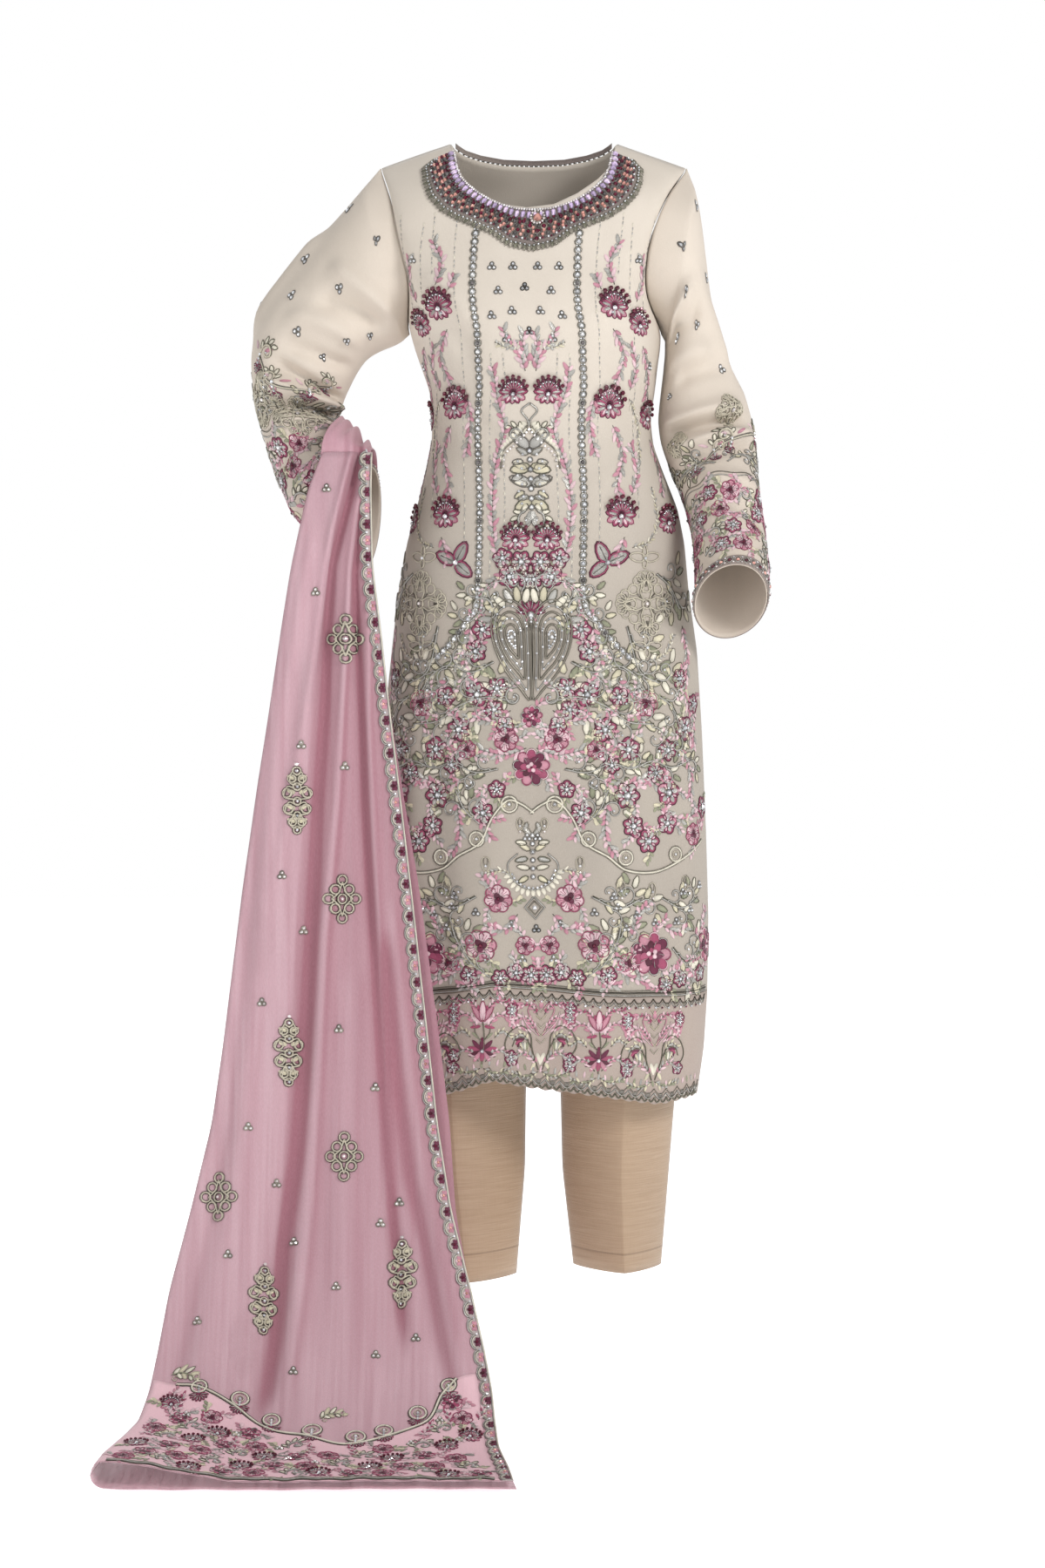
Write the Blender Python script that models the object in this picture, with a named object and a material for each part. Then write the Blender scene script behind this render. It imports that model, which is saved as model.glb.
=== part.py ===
"""Salwar kameez suit: a long kameez, straight trousers and a dupatta carried over the right sleeve.

Metres, +Z up, the wearer facing -Y, so the wearer's left is +X. The origin is the middle of the neck opening
on the line of the neck points. Tables are in millimetres.
"""

import math

import bpy
import numpy as np
from mathutils import Vector

KAMEEZ_WALL = 1.5
TRIM_WALL = 1.4
TROUSER_WALL = 1.5
DUPATTA_WALL = 1.2
SEAM_GAP = 0.8          # between two pieces sewn edge to edge
SHOULDER_GAP = 1.2      # from the shoulder line to each panel
ARMHOLE_GAP = 1.5       # from a panel's edge to the sleeve
TROUSER_GAP = 1.6       # from the side seam or inseam to each panel
LAY_GAP = 0.7           # between a piece and what is laid on it
SHOULDER_ROUND = 75.0   # how far below the shoulder line the cloth takes to reach the chest
SHOULDER_Y = 6.0
NECK_HALF = 90.0
SHOULDER_SLOPE = 0.34
TORSO_ROUND = 2.3       # 2 would give an ellipse across the torso
TORSO_MIDDLE = 8.0

CREAM = (0.66, 0.58, 0.51)
SILVER = (0.42, 0.38, 0.35)
BEADED = (0.30, 0.20, 0.24)
BEIGE = (0.46, 0.33, 0.24)
ROSE = (0.55, 0.30, 0.36)

# Torso of the kameez. left and right: side edges; front and back: the furthest points; front_edge and
# back_edge: how far forward or back the edge of each panel lies, which opens the armholes.
TORSO = {
    "z": (0, -30, -45, -62, -85, -106, -130, -159, -180, -200, -213, -222, -240, -260, -288, -320, -350,
          -380, -425, -465, -520, -590, -685, -800, -900, -990, -1055, -1125),
    "left": (-178, -176, -171, -165, -160, -156, -150, -143, -142, -143, -144, -142, -137, -130, -120, -117,
             -118, -124, -136, -147, -157, -165, -175, -183, -188, -190, -188, -184),
    "right": (180, 179, 168, 156, 145, 137, 131, 128, 130, 138, 146, 149, 148, 145, 142, 137, 140, 151, 169,
              177, 182, 192, 198, 203, 206, 205, 201, 191),
    "front": (-52, -60, -64, -70, -78, -86, -96, -107, -113, -117, -118, -118, -117, -112, -105, -99, -98,
              -100, -103, -106, -110, -113, -115, -116, -117, -117, -116, -114),
    "back": (45, 58, 66, 74, 82, 88, 92, 94, 94, 93, 92, 91, 89, 86, 82, 80, 83, 90, 102, 112, 118, 119, 117,
             114, 112, 110, 108, 106),
    "front_edge": (6, 4, -20, -34, -46, -52, -55, -52, -44, -28, -12, -1, -1, -1, -1, -1, -1, -1, -1, -1, -1,
                   -1, -3, -6, -8, -9, -10, -11),
    "back_edge": (6, 8, 32, 44, 54, 58, 60, 56, 48, 32, 14, 1, 1, 1, 1, 1, 1, 1, 1, 1, 1, 1, 4, 8, 11, 13, 14,
                  15),
}
# Columns across a panel: u runs from the right side seam to the left one, front_top and back_top are the
# heights of the neckline and the shoulder seam there.
ACROSS = {
    "u": (-1, -0.90, -0.72, -0.53, -0.50, -0.45, -0.35, -0.20, 0, 0.20, 0.35, 0.45, 0.50, 0.53, 0.72, 0.90, 1),
    "front_top": (-30, -24, -13, -1, -32, -51, -66, -79, -83, -79, -66, -51, -32, -1, -13, -24, -30),
    "back_top": (-30, -24, -13, -1, -8, -13, -18, -22, -23, -22, -18, -13, -8, -1, -13, -24, -30),
}
PANEL_ROWS = (-30, -40, -62, -85, -106, -132, -159, -183, -204, -222, -262, -320, -380, -460, -570, -760, -984)
# Seam between body and hem lace, and the hem below it, both across the front.
HEM = {
    "u": (-1, -0.7, -0.5, -0.28, 0, 0.25, 0.5, 0.75, 1),
    "seam": (-986, -984, -979, -971, -975, -980, -984, -986, -985),
    "hem": (-1105, -1101, -1093, -1079, -1087, -1093, -1101, -1109, -1104),
}
# Beaded neck trim: matched points of its neckline edge and of its scalloped outer edge.
NECK_TRIM = {
    "inner_x": (-90, -87, -85, -80, -72, -61, -48, -34, -18, 0, 18, 34, 48, 61, 72, 80, 85, 88, 91),
    "inner_z": (-14, -24, -37, -48, -57, -66, -74, -80, -84, -85, -84, -80, -74, -66, -57, -48, -37, -24, -14),
    "outer_x": (-112, -126, -124, -117, -104, -88, -68, -47, -28, -2, 24, 44, 66, 87, 104, 117, 124, 125, 113),
    "outer_z": (-25, -36, -50, -70, -86, -95, -103, -112, -128, -134, -127, -110, -101, -93, -82, -68, -52,
                -38, -25),
}
NECK_TRIM_ROWS = 4
PIPING = {"tall": 6.0, "gap": 1.2, "lean": 0.1, "narrowed": 0.995, "half_across": 0.515}
# Sleeve rings, armhole to cuff: the outer and inner ends of each ring seen from the front, how far back its
# middle lies, and half its depth (deep) as a vector tilted sideways (lean) and up (lift).
RIGHT_SLEEVE = {
    "out_x": (-198, -217, -245, -269, -294, -316, -330, -326, -317, -298, -274, -237, -204, -193),
    "out_z": (-55, -77, -107, -137, -168, -198, -243, -286, -328, -386, -437, -474, -488, -492),
    "in_x": (-151, -158, -178, -194, -205, -213, -220, -226, -230, -219, -202, -192, -187, -185),
    "in_z": (-229, -234, -241, -250, -265, -280, -294, -310, -330, -349, -363, -371, -375, -377),
    "mid_y": (1, 2, 5, 9, 13, 16, 17, 12, 3, -14, -30, -44, -51, -53),
    "deep": (60, 62, 62, 61, 59, 57, 54, 50, 46, 44, 44, 44, 44, 44),
    "lean": (0, 0, 0, 0, 0, 2, 4, 8, 11, 12, 12, 12, 12, 12),
    "lift": (0, 0, 0, 0, 0, 0, -2, -6, -10, -8, -6, -4, -3, -3),
}
LEFT_SLEEVE = {
    "out_x": (188, 194, 198, 202, 207, 215, 224, 243, 255, 259, 260, 262, 265, 268, 270, 267),
    "out_z": (-54, -77, -107, -140, -170, -205, -240, -278, -320, -352, -385, -415, -445, -475, -501, -528),
    "in_x": (154, 154, 154, 153, 152, 150, 148, 146, 149, 158, 169, 178, 184, 186, 186, 184),
    "in_z": (-230, -238, -246, -256, -268, -284, -302, -322, -348, -374, -398, -425, -452, -482, -512, -535),
    "mid_y": (1, 2, 3, 4, 5, 6, 6, 4, -2, -12, -26, -43, -60, -76, -91, -104),
    "deep": (60, 60, 60, 60, 60, 60, 61, 62, 61, 58, 55, 52, 50, 48, 46, 45),
    "lean": (0, 0, 0, 0, 0, 0, 0, 0, 0, 0, 0, 0, 0, 0, 0, 0),
    "lift": (0, 0, 0, 0, 0, 0, 0, -2, -8, -16, -22, -26, -29, -32, -36, -42),
}
SLEEVE_AROUND = 14
CUFF_TRIM_WIDE = 15.0

# Trousers. in_x: inseam, or the seam between the legs' panels above the crotch; out_x: side seam; crease_x:
# pressed crease; front and back: furthest points; rise: share of the depth at which the inner edge lies;
# round: 1 gives straight sides that meet at the crease, 2 an ellipse.
LEFT_LEG = {
    "z": (-402, -490, -545, -600, -635, -655, -720, -800, -900, -1000, -1110, -1200, -1314),
    "in_x": (13, 13, 13, 13, 13, 13, 14, 16, 20, 26, 33, 35, 48),
    "out_x": (138, 160, 168, 171, 171, 171, 171, 172, 173, 172, 168, 161, 152),
    "crease_x": (60, 78, 86, 92, 94, 95, 96, 98, 101, 104, 106, 103, 107),
    "front": (-84, -90, -94, -94, -92, -90, -87, -82, -76, -71, -67, -64, -61),
    "back": (74, 94, 100, 100, 98, 96, 92, 85, 78, 72, 67, 63, 58),
    "rise": (0.97, 0.96, 0.94, 0.82, 0.5, 0, 0, 0, 0, 0, 0, 0, 0),
    "round": (2.2, 2.2, 2.2, 2.1, 2.0, 1.9, 1.8, 1.65, 1.55, 1.45, 1.35, 1.3, 1.3),
}
RIGHT_LEG = {
    **LEFT_LEG,
    "z": (-402, -490, -545, -600, -635, -655, -720, -800, -900, -1000, -1110, -1200, -1325),
    "in_x": (11, 11, 11, 11, 11, 11, 10, 8, 2, -4, -8, -9, -19),
    "out_x": (-114, -134, -142, -146, -147, -148, -149, -150, -151, -151, -147, -141, -131),
    "crease_x": (-38, -54, -62, -68, -71, -74, -78, -82, -88, -93, -95, -89, -76),
}
LEG_STEPS = 4
WAISTBAND = {"top": -362.0, "low": -401.2, "x": 12.0, "y": -5.0, "half_wide": 126.0, "half_deep": 79.5,
             "squareness": 0.9, "around": 24}

# Dupatta front fall, down the cloth to its end on the floor. left: lengthwise fold; right: laced edge; under:
# how far the second layer shows past that edge; loft: distance between the two layers; pleat: depth of the
# soft pleats that run down from the arm.
FRONT_FALL = {
    "z": (-362, -402, -491, -560, -649, -738, -856, -1031, -1118, -1213, -1295, -1352, -1395, -1426, -1440,
          -1444, -1446),
    "y": (-108, -113, -124, -130, -136, -142, -150, -172, -188, -213, -243, -272, -304, -345, -390, -448,
          -505),
    "left": (-239, -255, -274, -285, -298, -312, -329, -350, -362, -384, -405, -414, -421, -431, -446, -458,
             -462),
    "right": (-183, -184, -182, -173, -163, -152, -138, -118, -108, -92, -70, -56, -46, -42, -38, -28, -22),
    "under": (0, 0, 0, 0, 0, 3, 9, 13, 14, 5, 0, 0, 0, 0, 0, 2, 4),
    "loft": (12, 12, 12, 12, 12, 12, 12, 12, 12, 12, 12, 12, 11, 10, 9, 8, 8),
    "corner": (0, 0, 0, 0, 0, 0, 0, 0, 0, 0, 0, 0, 2, 6, 14, 20, 20),
    "pleat": (7, 8, 9, 8, 7, 6, 6, 5, 5, 5, 4, 3, 2, 1, 0.6, 0.5, 0.5),
}
FALL_ACROSS = 13
PLEATS = 2.5
CORNER_START, CORNER_WIDE = 0.62, 0.34   # shares of the width where the rolled corner begins and how far it grows
END_BORDER_ROW = 10
LACE_WIDE = 13.0
LACE_LAP = 1.0          # how far the lace stands past the cloth's edge
# Dupatta behind the sleeve, hanging as a pleated band.
BACK_FALL = {
    "z": (-404, -450, -520, -620, -740, -880, -1020, -1160, -1280, -1345),
    "y": (72, 70, 68, 67, 66, 66, 66, 66, 68, 69),
    "left": (-252, -256, -264, -272, -280, -288, -296, -304, -312, -316),
    "right": (-190, -196, -204, -207, -208, -208, -207, -206, -205, -204),
    "pleat": (7, 8, 9, 9, 10, 10, 10, 10, 10, 10),
}
BACK_PLEATS = 3
# The stretch over the sleeve: an arch in y from front to rear. Its inner edge rises least, and its outer edge
# spreads at its feet.
OVER_ARM = {"front": -114.0, "rear": 72.0, "inner": -184.0, "outer": -221.0, "foot_spread": 20.0,
            "inner_crown": -356.0, "outer_crown": -317.0, "front_foot": -357.0, "rear_foot": -401.0,
            "pleats": 3, "pleat": 2.5, "steps": 9}


def at(table, column, key, value):
    """Value of a table's column where its key column holds value, by straight lines between rows."""
    keys, values = np.array(table[key], float), np.array(table[column], float)
    order = np.argsort(keys)
    return float(np.interp(value, keys[order], values[order]))


def lerp(a, b, t):
    return a + (b - a) * t


def grid_normals(grid, closed):
    """Unit normals of a grid of points, rows by columns, averaged at each point."""
    if closed:
        across = np.roll(grid, -1, axis=1) - np.roll(grid, 1, axis=1)
    else:
        across = np.gradient(grid, axis=1)
    down = np.gradient(grid, axis=0)
    normal = np.cross(down, across)
    return normal / np.maximum(np.linalg.norm(normal, axis=2, keepdims=True), 1e-9)


def wall(name, grid, thick, colour, closed=False, facing=None):
    """A cloth wall: the grid is its outer face and the inner face lies thick behind it. facing is a function
    of the points giving a vector that the outer face looks along."""
    grid = np.asarray(grid, float)
    rows, cols = grid.shape[:2]
    normals = grid_normals(grid, closed)
    if np.sum(normals * facing(grid)) < 0:
        grid = grid[:, ::-1]
        normals = grid_normals(grid, closed)
    inner = grid - normals * thick
    points = np.concatenate([grid.reshape(-1, 3), inner.reshape(-1, 3)]) / 1000.0
    count = rows * cols
    faces = []
    for i in range(rows - 1):
        for j in range(cols if closed else cols - 1):
            k = (j + 1) % cols
            a, b, c, d = i * cols + j, i * cols + k, (i + 1) * cols + k, (i + 1) * cols + j
            faces += [(a, d, c, b), (count + a, count + b, count + c, count + d)]
    for i, turned in ((0, False), (rows - 1, True)):
        for j in range(cols if closed else cols - 1):
            k = (j + 1) % cols
            rim = (i * cols + j, i * cols + k, count + i * cols + k, count + i * cols + j)
            faces.append(rim[::-1] if turned else rim)
    if not closed:
        for j, turned in ((0, True), (cols - 1, False)):
            for i in range(rows - 1):
                a, b = i * cols + j, (i + 1) * cols + j
                rim = (a, b, count + b, count + a)
                faces.append(rim[::-1] if turned else rim)
    mesh = bpy.data.meshes.new(name)
    mesh.from_pydata([tuple(p) for p in points], [], faces)
    mesh.update()
    solid = bpy.data.objects.new(name, mesh)
    bpy.context.scene.collection.objects.link(solid)
    solid.data.materials.append(cloth_material(name, colour))
    return solid


def cloth_material(name, colour):
    material = bpy.data.materials.new(name)
    material.use_nodes = True
    shader = material.node_tree.nodes["Principled BSDF"]
    shader.inputs["Base Color"].default_value = (*colour, 1)
    shader.inputs["Roughness"].default_value = 0.8
    return material


def away_from(x, y):
    """Facing for a wall round an upright axis."""
    return lambda grid: grid * (1, 1, 0) - (x, y, 0)


def towards(x, y, z):
    return lambda grid: np.broadcast_to((float(x), float(y), float(z)), grid.shape)


# Kameez

def shoulder_line(x):
    return -SHOULDER_SLOPE * (abs(x) - NECK_HALF)


def torso_point(u, z, side, out=0.0):
    """A point of the kameez: u across from right (-1) to left (1), side is "front" or "back"."""
    left, right = at(TORSO, "left", "z", z), at(TORSO, "right", "z", z)
    edge, furthest = at(TORSO, side + "_edge", "z", z), at(TORSO, side, "z", z)
    x = lerp(left, right, (u + 1) / 2)
    y = edge + (furthest - edge) * (1 - abs(u) ** TORSO_ROUND) ** (1 / TORSO_ROUND)
    drop = min(max((shoulder_line(x) - z) / SHOULDER_ROUND, 0.0), 1.0)
    seam = SHOULDER_Y + (-SHOULDER_GAP if side == "front" else SHOULDER_GAP)
    y = seam + (y - seam) * math.sqrt(1 - (1 - drop) ** 2)
    point = np.array((x, y, z))
    return point if not out else point + out * torso_normal(u, z, side)


def torso_normal(u, z, side):
    inside = min(max(u, -0.97), 0.97)
    across = torso_point(inside + 0.01, z, side) - torso_point(inside - 0.01, z, side)
    down = torso_point(inside, z - 2, side) - torso_point(inside, z, side)
    normal = np.cross(across, down)
    normal *= -1 if (normal[1] > 0) == (side == "front") else 1
    return normal / np.linalg.norm(normal)


def across_of(x, z):
    """The u of the torso at a given x and z."""
    left, right = at(TORSO, "left", "z", z), at(TORSO, "right", "z", z)
    return 2 * (x - left) / (right - left) - 1


def panel_grid(side, columns, tops):
    share = [(PANEL_ROWS[0] - z) / (PANEL_ROWS[0] - PANEL_ROWS[-1]) for z in PANEL_ROWS]
    grid = []
    for part in share:
        row = []
        for u, top in zip(columns, tops):
            row.append(torso_point(u, lerp(top, at(HEM, "seam", "u", u), part), side))
        grid.append(row)
    return grid


def make_body():
    for side in ("front", "back"):
        grid = panel_grid(side, ACROSS["u"], ACROSS[side + "_top"])
        wall(f"kameez_{side}", grid, KAMEEZ_WALL, CREAM, facing=away_from(TORSO_MIDDLE, 0))


def make_hem_lace():
    columns = ACROSS["u"]
    for side in ("front", "back"):
        grid = []
        for part in (0.0, 1.0):
            row = []
            for u in columns:
                top = at(HEM, "seam", "u", u) - SEAM_GAP
                row.append(torso_point(u, lerp(top, at(HEM, "hem", "u", u), part), side))
            grid.append(row)
        wall(f"hem_lace_{side}", grid, KAMEEZ_WALL, SILVER, facing=away_from(TORSO_MIDDLE, 0))


def make_neck_trim():
    grid = []
    for part in np.linspace(0, 1, NECK_TRIM_ROWS):
        row = []
        for xi, zi, xo, zo in zip(*(NECK_TRIM[k] for k in ("inner_x", "inner_z", "outer_x", "outer_z"))):
            x, z = lerp(xi, xo, part), lerp(zi, zo, part)
            row.append(torso_point(across_of(x, z), z, "front", LAY_GAP + TRIM_WALL))
        grid.append(row)
    wall("neck_trim", grid, TRIM_WALL, BEADED, facing=towards(0, -1, 0.3))


def make_neck_piping():
    """A narrow strip that stands on the back neckline and leans forward."""
    grid = []
    for rise in (PIPING["tall"], 0.0):
        row = []
        for u, top in zip(ACROSS["u"], ACROSS["back_top"]):
            if abs(u) < PIPING["half_across"]:
                base = torso_point(u, top, "back")
                row.append((base[0] * PIPING["narrowed"], base[1] - PIPING["lean"] * rise, top + PIPING["gap"] + rise))
        grid.append(row)
    wall("neck_piping", grid, TRIM_WALL, SILVER, facing=away_from(0, -60))


# Sleeves

def ring(table, i, out=0.0):
    """One ring of a sleeve, from its outer end round the front to its inner end and back."""
    out_x, out_z, in_x, in_z = (table[k][i] for k in ("out_x", "out_z", "in_x", "in_z"))
    middle = np.array(((out_x + in_x) / 2, table["mid_y"][i], (out_z + in_z) / 2))
    along = np.array(((out_x - in_x) / 2, 0.0, (out_z - in_z) / 2))
    depth = np.array((table["lean"][i], table["deep"][i], table["lift"][i]), float)
    grow = 1 + out / np.linalg.norm(along), 1 + out / np.linalg.norm(depth)
    return [
        middle + along * grow[0] * math.cos(turn) - depth * grow[1] * math.sin(turn)
        for turn in np.linspace(0, 2 * math.pi, SLEEVE_AROUND, endpoint=False)
    ]


def armhole_ring(wearer):
    """The sleeve's first ring: the edges of the two body panels, set off by the seam."""
    u, sign = (1, 1) if wearer == "left" else (-1, -1)
    points = []
    for turn in np.linspace(0, 2 * math.pi, SLEEVE_AROUND, endpoint=False):
        z = lerp(-222, -30, (1 + math.cos(turn)) / 2)
        side = "front" if math.sin(turn) >= 0 else "back"
        points.append(torso_point(u, z, side) + (sign * ARMHOLE_GAP, 0, 0))
    return points


def sleeve_length(table):
    middles = [np.mean(ring(table, i), axis=0) for i in range(len(table["deep"]))]
    return np.cumsum([0] + [np.linalg.norm(b - a) for a, b in zip(middles, middles[1:])])


def make_sleeves():
    for wearer, table in (("right", RIGHT_SLEEVE), ("left", LEFT_SLEEVE)):
        count = len(table["deep"])
        grid = [armhole_ring(wearer)] + [ring(table, i) for i in range(count)]
        middles = np.mean(np.array(grid), axis=1, keepdims=True)
        wall(f"sleeve_{wearer}", grid, KAMEEZ_WALL, CREAM, closed=True,
             facing=lambda g, m=middles: g - m)
        cuff, before = np.array(ring(table, count - 1, LAY_GAP + TRIM_WALL)), np.array(
            ring(table, count - 2, LAY_GAP + TRIM_WALL))
        length = sleeve_length(table)
        back = CUFF_TRIM_WIDE / (length[-1] - length[-2])
        band = [cuff, lerp(cuff, before, min(back, 1.0))]
        centre = cuff.mean(axis=0)
        wall(f"cuff_trim_{wearer}", band, TRIM_WALL, SILVER, closed=True, facing=lambda g, c=centre: g - c)


# Trousers

def quarter(start, end, rounding, steps):
    """Points from a side seam or inseam, start, to the crease, end, both (x, y)."""
    points = []
    for step in range(steps):
        part = math.sin(math.pi / 2 * step / steps) ** (2 / rounding)
        bulge = (1 - (1 - part) ** rounding) ** (1 / rounding)
        points.append((lerp(start[0], end[0], part), lerp(start[1], end[1], bulge)))
    return points


def make_trousers():
    for wearer, table in (("left", LEFT_LEG), ("right", RIGHT_LEG)):
        for side, sign in (("front", -1), ("back", 1)):
            grid = []
            for i, z in enumerate(table["z"]):
                crease = (table["crease_x"][i], table[side][i])
                inner = (table["in_x"][i], sign * TROUSER_GAP + table[side][i] * table["rise"][i])
                outer = (table["out_x"][i], sign * TROUSER_GAP)
                first = quarter(inner, crease, table["round"][i], LEG_STEPS)
                second = quarter(outer, crease, table["round"][i], LEG_STEPS)
                row = first + [crease] + second[::-1]
                grid.append([(x, y, z) for x, y in row])
            middle_x = np.array([(a + b) / 2 for a, b in zip(table["in_x"], table["out_x"])])
            wall(f"trouser_{side}_{wearer}", grid, TROUSER_WALL, BEIGE,
                 facing=lambda g, m=middle_x: g * (1, 1, 0) - np.dstack([m, m * 0, m * 0]).transpose(1, 0, 2))


def make_waistband():
    band = WAISTBAND
    grid = []
    for z in (band["top"], band["low"]):
        row = []
        for turn in np.linspace(0, 2 * math.pi, band["around"], endpoint=False):
            c, s = math.cos(turn), math.sin(turn)
            x = band["x"] + band["half_wide"] * math.copysign(abs(c) ** band["squareness"], c)
            y = band["y"] + band["half_deep"] * math.copysign(abs(s) ** band["squareness"], s)
            row.append((x, y, z))
        grid.append(row)
    wall("trouser_waistband", grid, TROUSER_WALL, BEIGE, closed=True, facing=away_from(band["x"], band["y"]))


# Dupatta

def fall_frame(i):
    """The path of the front fall at row i: its middle height and the direction that its upper face looks."""
    z, y = np.array(FRONT_FALL["z"], float), np.array(FRONT_FALL["y"], float)
    dz, dy = np.gradient(z)[i], np.gradient(y)[i]
    size = math.hypot(dz, dy)
    return np.array((0, dz / size, -dy / size)), np.array((0, y[i], z[i]))


def pleat_height(part, depth, wide):
    """Soft pleats across the fall, part 0 at the laced edge and 1 at the fold. The laced strip stays flat."""
    start = (LACE_WIDE + 2) / wide
    past = max(part - start, 0) / (1 - start)
    return depth * math.sin(2 * math.pi * PLEATS * past) * smooth(past * 4) * smooth((1 - past) * 4)


def fall_point(i, part, layer, out=0.0):
    """Layer 0 is the upper one, with the lace, and layer 1 the one folded under it."""
    face, base = fall_frame(i)
    left, right = FRONT_FALL["left"][i], FRONT_FALL["right"][i]
    loft = FRONT_FALL["loft"][i] + FRONT_FALL["corner"][i] * smooth((part - CORNER_START) / CORNER_WIDE)
    edge = right + (FRONT_FALL["under"][i] if layer else 0)
    radius = loft / 2
    x = lerp(edge, left + radius, part)
    height = pleat_height(part, FRONT_FALL["pleat"][i], right - left)
    lift = FRONT_FALL["corner"][i] * smooth((part - CORNER_START) / CORNER_WIDE) * 0.5
    offset = (radius if layer == 0 else -radius) + lift
    return base + (x, 0, 0) + face * (height + offset + out)


def smooth(t):
    t = min(max(t, 0.0), 1.0)
    return t * t * (3 - 2 * t)


def make_front_fall():
    grid = []
    parts = np.linspace(0, 1, FALL_ACROSS)
    for i in range(len(FRONT_FALL["z"])):
        face, _ = fall_frame(i)
        top, low = fall_point(i, 1, 0), fall_point(i, 1, 1)
        centre, radius = (top + low) / 2, np.linalg.norm(top - low) / 2
        bend = [centre + (-radius * math.sin(a), 0, 0) + face * radius * math.cos(a)
                for a in np.radians((45, 90, 135))]
        row = [fall_point(i, p, 0) for p in parts] + bend + [fall_point(i, p, 1) for p in parts[::-1]]
        grid.append(row)
    wall("dupatta_front_fall", grid, DUPATTA_WALL, ROSE, facing=fold_facing)


def fold_facing(grid):
    """The outer face looks up on the upper layer only."""
    facing = np.zeros(grid.shape)
    facing[:, : FALL_ACROSS] = (0, -1, 0.2)
    return facing


def make_side_lace():
    rows = len(FRONT_FALL["z"])
    grid = []
    for i in range(rows):
        wide = FRONT_FALL["right"][i] - FRONT_FALL["left"][i]
        grid.append([fall_point(i, part, 0, LAY_GAP + TRIM_WALL) for part in (-LACE_LAP / wide, LACE_WIDE / wide)])
    wall("dupatta_side_lace", grid, TRIM_WALL, SILVER, facing=towards(0, -1, 0.2))


def make_end_border():
    grid = []
    rows = len(FRONT_FALL["z"])
    parts = np.linspace(0, 1, FALL_ACROSS)[1:]
    for i in range(END_BORDER_ROW, rows):
        wide = FRONT_FALL["right"][i] - FRONT_FALL["left"][i]
        inner_edge = (LACE_WIDE + SEAM_GAP) / wide
        row = [fall_point(i, inner_edge, 0, LAY_GAP + TRIM_WALL)]
        row += [fall_point(i, part, 0, LAY_GAP + TRIM_WALL) for part in parts]
        grid.append(row)
    wall("dupatta_end_border", grid, TRIM_WALL, ROSE, facing=towards(0, -1, 0.3))


def band_points(table, i, pleats):
    left, right = table["left"][i], table["right"][i]
    row = []
    for part in np.linspace(0, 1, FALL_ACROSS):
        y = table["y"][i] + table["pleat"][i] * math.sin(2 * math.pi * pleats * part)
        row.append((lerp(right, left, part), y, table["z"][i]))
    return row


def make_back_fall():
    grid = [band_points(BACK_FALL, i, BACK_PLEATS) for i in range(len(BACK_FALL["z"]))]
    wall("dupatta_back_fall", grid, DUPATTA_WALL, ROSE, facing=towards(0, 1, 0))


def make_over_arm():
    """The stretch over the sleeve, an arch from the top of the front fall to the top of the back fall."""
    arch = OVER_ARM
    grid = []
    for turn in np.linspace(0, math.pi, arch["steps"]):
        row = []
        along = (1 - math.cos(turn)) / 2
        for part in np.linspace(0, 1, arch["steps"]):
            outer = arch["outer"] - arch["foot_spread"] * (1 - math.sin(turn))
            crown = lerp(arch["inner_crown"], arch["outer_crown"], part)
            foot = lerp(arch["front_foot"], arch["rear_foot"], along)
            z = foot + (crown - foot) * math.sin(turn) ** 0.5
            z += arch["pleat"] * math.sin(2 * math.pi * arch["pleats"] * part) * math.sin(turn)
            row.append((lerp(arch["inner"], outer, part), lerp(arch["front"], arch["rear"], along), z))
        grid.append(row)
    wall("dupatta_over_arm", grid, DUPATTA_WALL, ROSE, facing=towards(0, 0, 1))


for old in list(bpy.data.objects):
    bpy.data.objects.remove(old)
make_body()
make_hem_lace()
make_neck_trim()
make_neck_piping()
make_sleeves()
make_trousers()
make_waistband()
make_front_fall()
make_side_lace()
make_end_border()
make_back_fall()
make_over_arm()
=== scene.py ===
import bpy
import bmesh
import math
import numpy as np
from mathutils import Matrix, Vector


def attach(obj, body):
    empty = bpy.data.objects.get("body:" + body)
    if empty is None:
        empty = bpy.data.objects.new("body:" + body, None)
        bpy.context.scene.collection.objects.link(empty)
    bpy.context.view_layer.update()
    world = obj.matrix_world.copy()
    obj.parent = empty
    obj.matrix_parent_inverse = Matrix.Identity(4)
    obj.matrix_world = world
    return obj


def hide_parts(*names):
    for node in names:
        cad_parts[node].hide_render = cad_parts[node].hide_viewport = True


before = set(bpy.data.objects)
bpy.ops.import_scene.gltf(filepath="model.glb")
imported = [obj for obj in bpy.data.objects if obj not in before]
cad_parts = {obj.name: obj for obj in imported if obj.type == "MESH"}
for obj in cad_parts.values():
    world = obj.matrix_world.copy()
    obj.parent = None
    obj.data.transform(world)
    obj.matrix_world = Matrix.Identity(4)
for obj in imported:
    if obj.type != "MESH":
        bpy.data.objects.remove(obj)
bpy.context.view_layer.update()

mm = 0.001


def srgb(r, g, b):
    return tuple(((c / 255 + 0.055) / 1.055) ** 2.4 if c > 10 else c / 3294.6 for c in (r, g, b))


# Shared helpers: tables, grids and cloth walls.

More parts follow.
